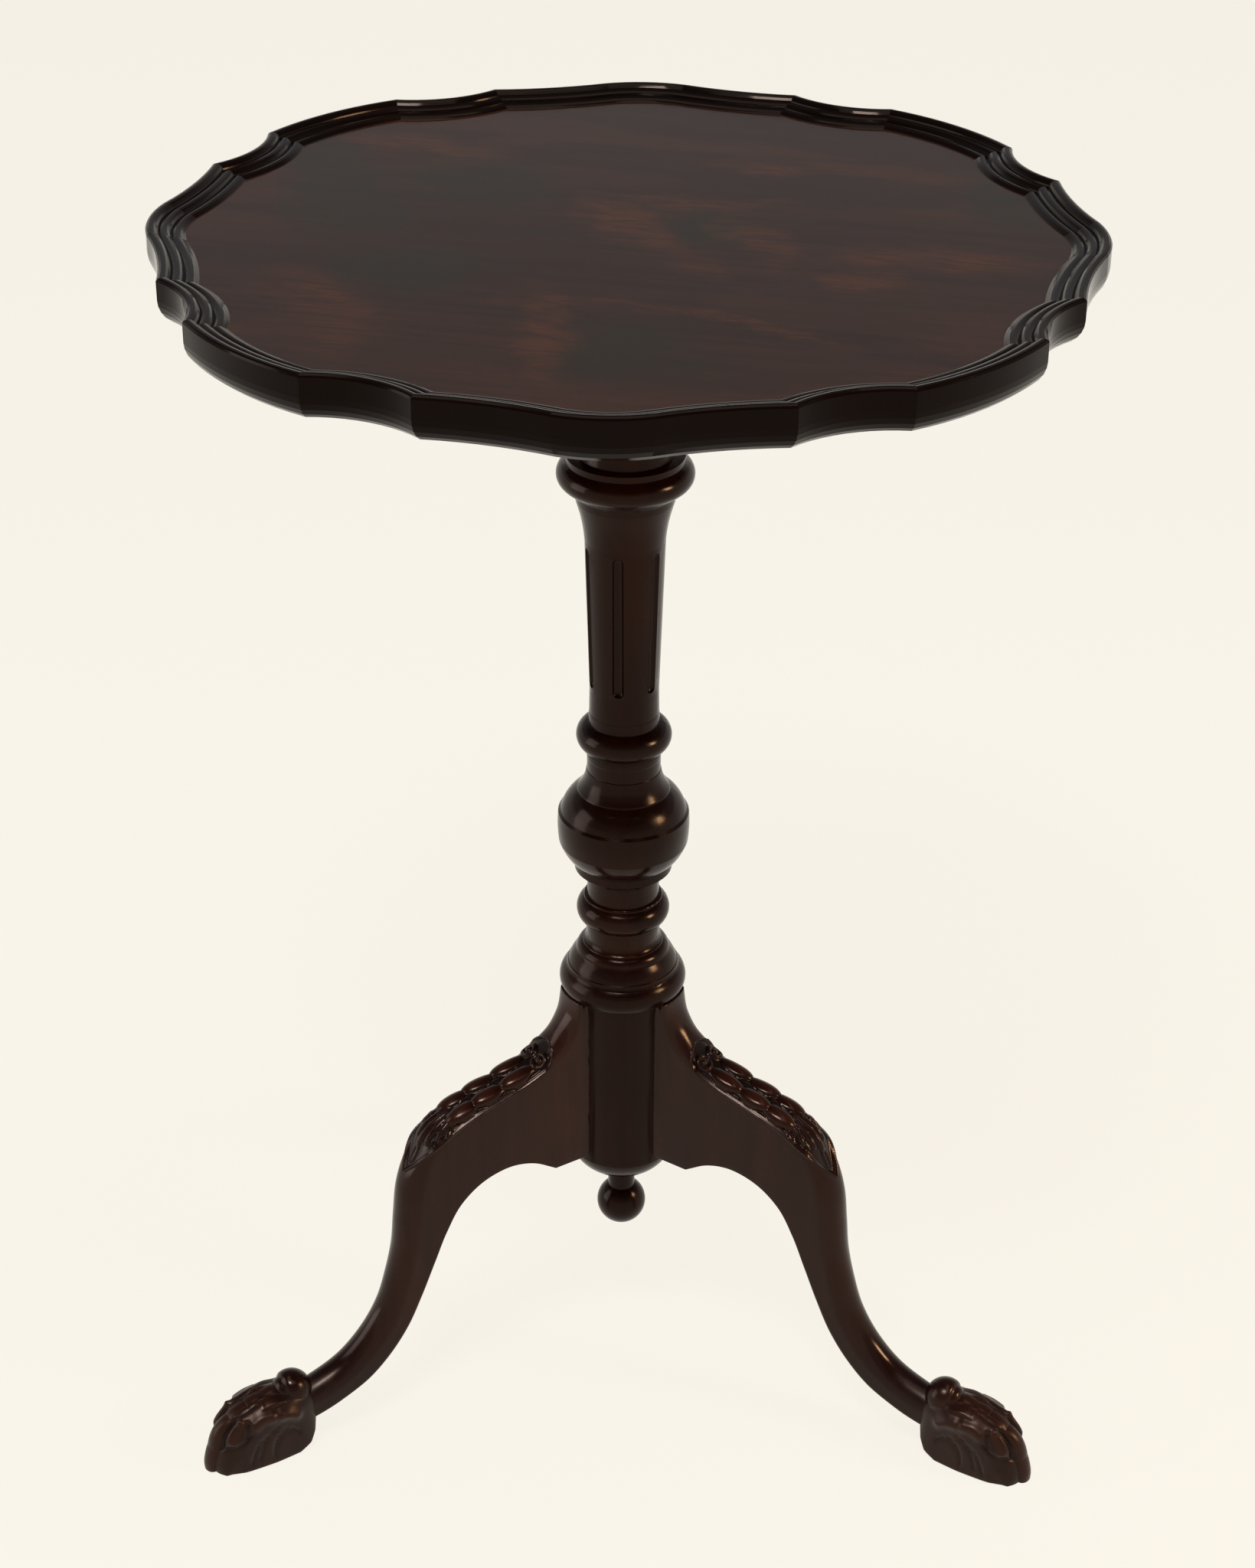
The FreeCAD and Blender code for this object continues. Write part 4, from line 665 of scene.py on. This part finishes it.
# %% Strokes of the gouge
# (line seen from the side: along and up, height, width, nearest and farthest from the middle), in millimetres
FOOT_STROKES = (
    (((219.5, 17.0), (224.3, 21.2), (228.8, 21.0), (232.6, 17.8), (235.0, 13.0), (235.6, 6.5)),
     -1.1, 1.0, 5, 30),
    (((232.5, 27.0), (238.0, 22.5), (242.2, 16.3), (244.6, 8.0)), -0.9, 0.9, 5, 30),
    (((240.4, 22.0), (245.1, 17.5), (248.0, 11.8), (249.8, 6.0)), -0.8, 0.9, 5, 30),
    (((220.6, 30.2), (225.0, 32.4), (229.5, 33.2)), 2.2, 3.2, 7, 30),
    (((235.5, 34.0), (241.0, 34.0), (246.0, 31.8)), 2.4, 3.2, 7, 30),
    (((227.0, 37.4), (233.0, 39.0), (238.0, 39.2)), 1.7, 2.2, 4.5, 11),
    (((241.0, 39.4), (246.5, 37.6), (252.0, 33.4)), 1.7, 2.2, 4.5, 11),
    (((249.0, 26.5), (254.0, 22.0), (260.5, 18.4), (266.0, 17.0)), -0.9, 1.1, 6, 30),
    (((249.8, 32.0), (251.6, 26.0)), -1.3, 1.3, 7, 30),
    (((253.6, 32.6), (257.4, 28.6), (259.6, 23.0)), 2.4, 3.2, 7.0, 30),
    (((260.6, 30.0), (263.2, 25.0), (265.4, 19.0)), -1.2, 1.5, 6, 14),
)
# The middle toe: half its width, and the middle and half length of each of its joints along the foot
TOE_HALF = 5.2
TOE_JOINTS = ((231.0, 6.2), (241.4, 5.4), (251.0, 5.8), (261.5, 7.0), (271.5, 6.6))
# The groove that parts it from the toes beside it
GROOVE_ASIDE, GROOVE_WIDTH, GROOVE_DEPTH = 6.2, 1.2, 1.0


def foot_relief(points):
    """The sum of the strokes: each is its height times exp(-(d / width)^2), where d is the distance from its
    line seen from the side. The middle toe is a ridge of joints along the top line, each a rounded bar."""
    along, side, up = 1000 * points[:, :, 0], 1000 * np.abs(points[:, :, 1]), 1000 * points[:, :, 2]
    total = np.zeros_like(along)
    for line, height, width, near, far in FOOT_STROKES:
        line = smooth_line(line, count=40)
        apart = np.min([np.hypot(along - x, up - y) for x, y in line], axis=0)
        share = ease(side, near - 1.0, near + 1.0) * (1 - ease(side, far - 1.0, far + 1.0))
        total += height * np.exp(-(apart / width)**2) * share
    on_top = ease(along, 222.0, 230.0)
    joints = np.max([np.sqrt(np.clip(1 - ((along - place) / reach)**2, 0.06, None))
                     for place, reach in TOE_JOINTS], axis=0)
    rise = 2.0 + 2.2 * ease(along, 248.0, 266.0)
    toe = rise * np.sqrt(np.clip(1 - (side / TOE_HALF)**2, 0, None)) * (0.25 + 0.75 * joints)
    groove_length = ease(along, 236.0, 250.0) * (1 - ease(along, 262.0, 268.0))
    groove = GROOVE_DEPTH * np.exp(-((side - GROOVE_ASIDE) / GROOVE_WIDTH)**2) * groove_length
    return total + (toe - groove) * on_top


foot_change = foot_relief(foot) / 1000
carved_foot = foot + grid_normals(foot) * foot_change[:, :, None]
carved_foot[:, :, 2] = np.maximum(carved_foot[:, :, 2], 0.0)
print("foot relief from", round(1000 * foot_change.min(), 2), "to", round(1000 * foot_change.max(), 2), "mm")


# %% The ball at the ankle
BALL_PLACE, BALL_RADIUS = (0.2165, 0.0, 0.0378), 0.0115
BALL_SWELL, NIP_DEPTH, NIP_AHEAD, NIP_WIDTH = 0.06, 0.07, 0.62, 0.12


def ankle_ball(centre, radius, rings=48, sectors=72):
    """A sphere that swells towards the toes and is nipped by a shallow groove across the upper half of its
    front: its radius is r (1 + swell x - depth exp(-((x - place) / width)^2)), where x is how far ahead the
    point lies, from -1 to 1."""
    theta = np.linspace(math.pi - 0.02, 0.02, rings)[:, None]
    phi = np.linspace(0, 2 * math.pi, sectors, endpoint=False)[None, :]
    across, ahead, up = np.sin(theta) * np.sin(phi), np.sin(theta) * np.cos(phi), np.cos(theta) + 0 * phi
    nip = NIP_DEPTH * np.exp(-((ahead - NIP_AHEAD) / NIP_WIDTH)**2) * (up > 0)
    swell = radius * (1 + BALL_SWELL * ahead - nip)
    return np.stack([centre[0] + swell * ahead, centre[1] + swell * across, centre[2] + swell * up], axis=2)


ball = ankle_ball(BALL_PLACE, BALL_RADIUS)
print("ball grid:", ball.shape)


# %% From grids to one mesh
def closed_grid_faces(rows, columns, first=0):
    """Vertex numbers of the quads of a grid closed in its second direction."""
    i = np.arange(rows - 1)[:, None]
    j = np.arange(columns)[None, :]
    k = (j + 1) % columns
    return np.stack([first + i * columns + j, first + i * columns + k,
                     first + (i + 1) * columns + k, first + (i + 1) * columns + j], axis=2).reshape(-1, 4)


def mesh_of_grids(name, grids, values):
    """One mesh of several closed grids, each with a fan of triangles over both ends, and with a value for
    each of its points."""
    vertices, quads, fans, first = [], [], [], 0
    for grid in grids:
        rows, columns = grid.shape[:2]
        vertices += [grid.reshape(-1, 3), grid[0].mean(axis=0, keepdims=True),
                     grid[-1].mean(axis=0, keepdims=True)]
        quads.append(closed_grid_faces(rows, columns, first))
        j = np.arange(columns)
        k = (j + 1) % columns
        end = first + rows * columns
        fans.append(np.stack([first + k, first + j, np.full(columns, end)], axis=1))
        last = first + (rows - 1) * columns
        fans.append(np.stack([last + j, last + k, np.full(columns, end + 1)], axis=1))
        first = end + 2
    vertices = np.concatenate(vertices)
    quads, fans = np.concatenate(quads), np.concatenate(fans)
    mesh = bpy.data.meshes.new(name)
    mesh.vertices.add(len(vertices))
    mesh.vertices.foreach_set("co", vertices.astype(np.float32).ravel())
    mesh.loops.add(quads.size + fans.size)
    mesh.loops.foreach_set("vertex_index", np.concatenate([quads.ravel(), fans.ravel()]).astype(np.int32))
    mesh.polygons.add(len(quads) + len(fans))
    starts = np.concatenate([4 * np.arange(len(quads)), quads.size + 3 * np.arange(len(fans))])
    mesh.polygons.foreach_set("loop_start", starts.astype(np.int32))
    mesh.polygons.foreach_set("use_smooth", np.ones(len(quads) + len(fans), bool))
    mesh.update(calc_edges=True)
    mesh.validate()
    layer = mesh.attributes.new("carving", "FLOAT", "POINT")
    layer.data.foreach_set("value", values.astype(np.float32))
    return mesh


def turned_about_z(grid, degrees):
    """The grid turned about the table's own axis: x' = x cos - y sin, y' = x sin + y cos."""
    c, s = math.cos(math.radians(degrees)), math.sin(math.radians(degrees))
    return grid @ np.array([[c, s, 0.0], [-s, c, 0.0], [0.0, 0.0, 1.0]])


def padded_values(grid):
    """A grid's values in vertex order, with a zero for each of its two end points."""
    return np.concatenate([grid.ravel(), [0.0, 0.0]])


def add_piece(name, mesh, body, material, slot, *nodes):
    """A new object at the origin that rides on a body, takes a finish and stands for measured nodes."""
    piece = bpy.data.objects.new(name, mesh)
    bpy.context.scene.collection.objects.link(piece)
    mesh.materials.append(material)
    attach(piece, body)
    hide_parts(*nodes)
    return piece


print("faces of a grid of 3 rings by 4:", len(closed_grid_faces(3, 4)))

# %% Three legs from one
LEG_TURNS = {"leg_right": -30.65, "leg_back": 89.35, "leg_left": -150.65}
carving = np.concatenate([padded_values(1000 * relief), padded_values(1000 * foot_change),
                          padded_values(np.zeros(ball.shape[:2]))])
for leg_name, degrees in LEG_TURNS.items():
    grids = [turned_about_z(grid, degrees) for grid in (carved_blade, carved_foot, ball)]
    leg_mesh = mesh_of_grids(f"{leg_name}_carved", grids, carving)
    leg = add_piece(f"{leg_name}_carved", leg_mesh, "stand", leg_wood, "mahogany", leg_name)
    print(leg.name, len(leg.data.polygons), "faces")

# %% [markdown]
# ## The floor and the light
#
# The table stands on a plain, pale floor, which runs into a sky of the same cream, so that no horizon shows.
# Polished wood needs something to mirror: the sky is darker above the horizon, and darkest overhead. A wide
# lamp overhead gives the plain level. A small, cool lamp in front and above draws the white lights on the
# rim, the beads and the knees. A tall, pale one at the left stands for a window, and a small, warm one at the
# right rounds the column and the legs.

# %% Floor
FLOOR_REACH = 14.0
CREAM = (0.947, 0.905, 0.82, 1.0)
MATT_CREAM = (0.88, 0.84, 0.755, 1.0)
# How much of its own cream the floor shows to the camera and in polished or clear things; the rest is shaded
CREAM_SHARE = 0.93
floor_mesh = bpy.data.meshes.new("floor")
corners = [(-1, -1), (1, -1), (1, 1), (-1, 1)]
floor_mesh.from_pydata([(FLOOR_REACH * x, FLOOR_REACH * y, 0) for x, y in corners], [], [(0, 1, 2, 3)])
floor = bpy.data.objects.new("floor", floor_mesh)
bpy.context.scene.collection.objects.link(floor)
floor_material = bpy.data.materials.new("pale_floor")
floor_material.use_nodes = True
tree = floor_material.node_tree
tree.nodes.clear()
ray = add_node(tree, "LightPath")
seen = maths(tree, "MAXIMUM", ray.outputs["Is Camera Ray"], ray.outputs["Is Glossy Ray"])
seen = maths(tree, "MAXIMUM", seen, ray.outputs["Is Transmission Ray"])
share = maths(tree, "MULTIPLY", seen, CREAM_SHARE)
matt = add_node(tree, "BsdfDiffuse", {"Color": MATT_CREAM}).outputs[0]
glow = add_node(tree, "Emission", {"Color": CREAM, "Strength": 1.0}).outputs[0]
surface = add_node(tree, "MixShader", {0: share, 1: matt, 2: glow}).outputs[0]
tree.links.new(surface, add_node(tree, "OutputMaterial").inputs["Surface"])
floor_mesh.materials.append(floor_material)
print("floor:", 2 * FLOOR_REACH, "m square")

# %% World
# The sky overhead and nearer the horizon, and what is left of the cream at the horizon itself
HIGH_SKY, LOW_SKY, HORIZON_SHARE = (0.12, 0.12, 0.125, 1.0), (0.4, 0.4, 0.405, 1.0), 0.95
world = bpy.data.worlds.new("studio")
bpy.context.scene.world = world
world.use_nodes = True
tree = world.node_tree
tree.nodes.clear()
direction = add_node(tree, "TexCoord").outputs["Generated"]
height = height_of(tree, direction)
sky = blend_colour(tree, ramp_value(tree, height, 0.6, 0.45), HIGH_SKY, LOW_SKY)
pale = ramp_value(tree, height, 0.27, 0.2)
pale = maths(tree, "MAXIMUM", pale, add_node(tree, "LightPath").outputs["Is Camera Ray"])
sky = blend_colour(tree, pale, sky, tuple(HORIZON_SHARE * value for value in CREAM))
background = add_node(tree, "Background", {"Color": sky, "Strength": 1.0}).outputs[0]
tree.links.new(background, add_node(tree, "OutputWorld").inputs["Surface"])
print("world ready")


# %% Lamps
# Name, place, the point it faces, width and height in metres, power in watts and colour
LAMPS = (
    ("overhead_lamp", (0.0, -0.4, 3.2), (0.0, 0.0, 0.3), (2.6, 2.6), 32.0, (1.0, 0.98, 0.95)),
    ("key_lamp", (-0.45, -1.35, 3.1), (0.0, 0.0, 0.4), (0.9, 0.6), 64.0, (0.95, 0.98, 1.0)),
    ("window_lamp", (-2.4, -0.3, 1.0), (0.0, 0.0, 0.4), (1.2, 1.8), 20.0, (0.95, 0.97, 1.0)),
    ("warm_lamp", (2.2, -0.6, 1.4), (0.0, 0.0, 0.4), (0.5, 0.6), 36.0, (1.0, 0.74, 0.45)),
)
for lamp_name, place, aim, size, power, colour in LAMPS:
    lamp_data = bpy.data.lights.new(lamp_name, "AREA")
    lamp_data.shape = "RECTANGLE"
    lamp_data.size, lamp_data.size_y = size
    lamp_data.energy = power
    lamp_data.color = colour
    lamp = bpy.data.objects.new(lamp_name, lamp_data)
    lamp.location = place
    lamp.rotation_euler = (Vector(aim) - Vector(place)).to_track_quat("-Z", "Y").to_euler()
    bpy.context.scene.collection.objects.link(lamp)
bpy.context.scene.view_settings.view_transform = "Standard"
print("lamps:", len(LAMPS))

# %% [markdown]
# ## Bring the scene up to date
#
# The view layer is updated once more, so that every piece stands where it was put.

# %% Update the view layer
bpy.context.view_layer.update()
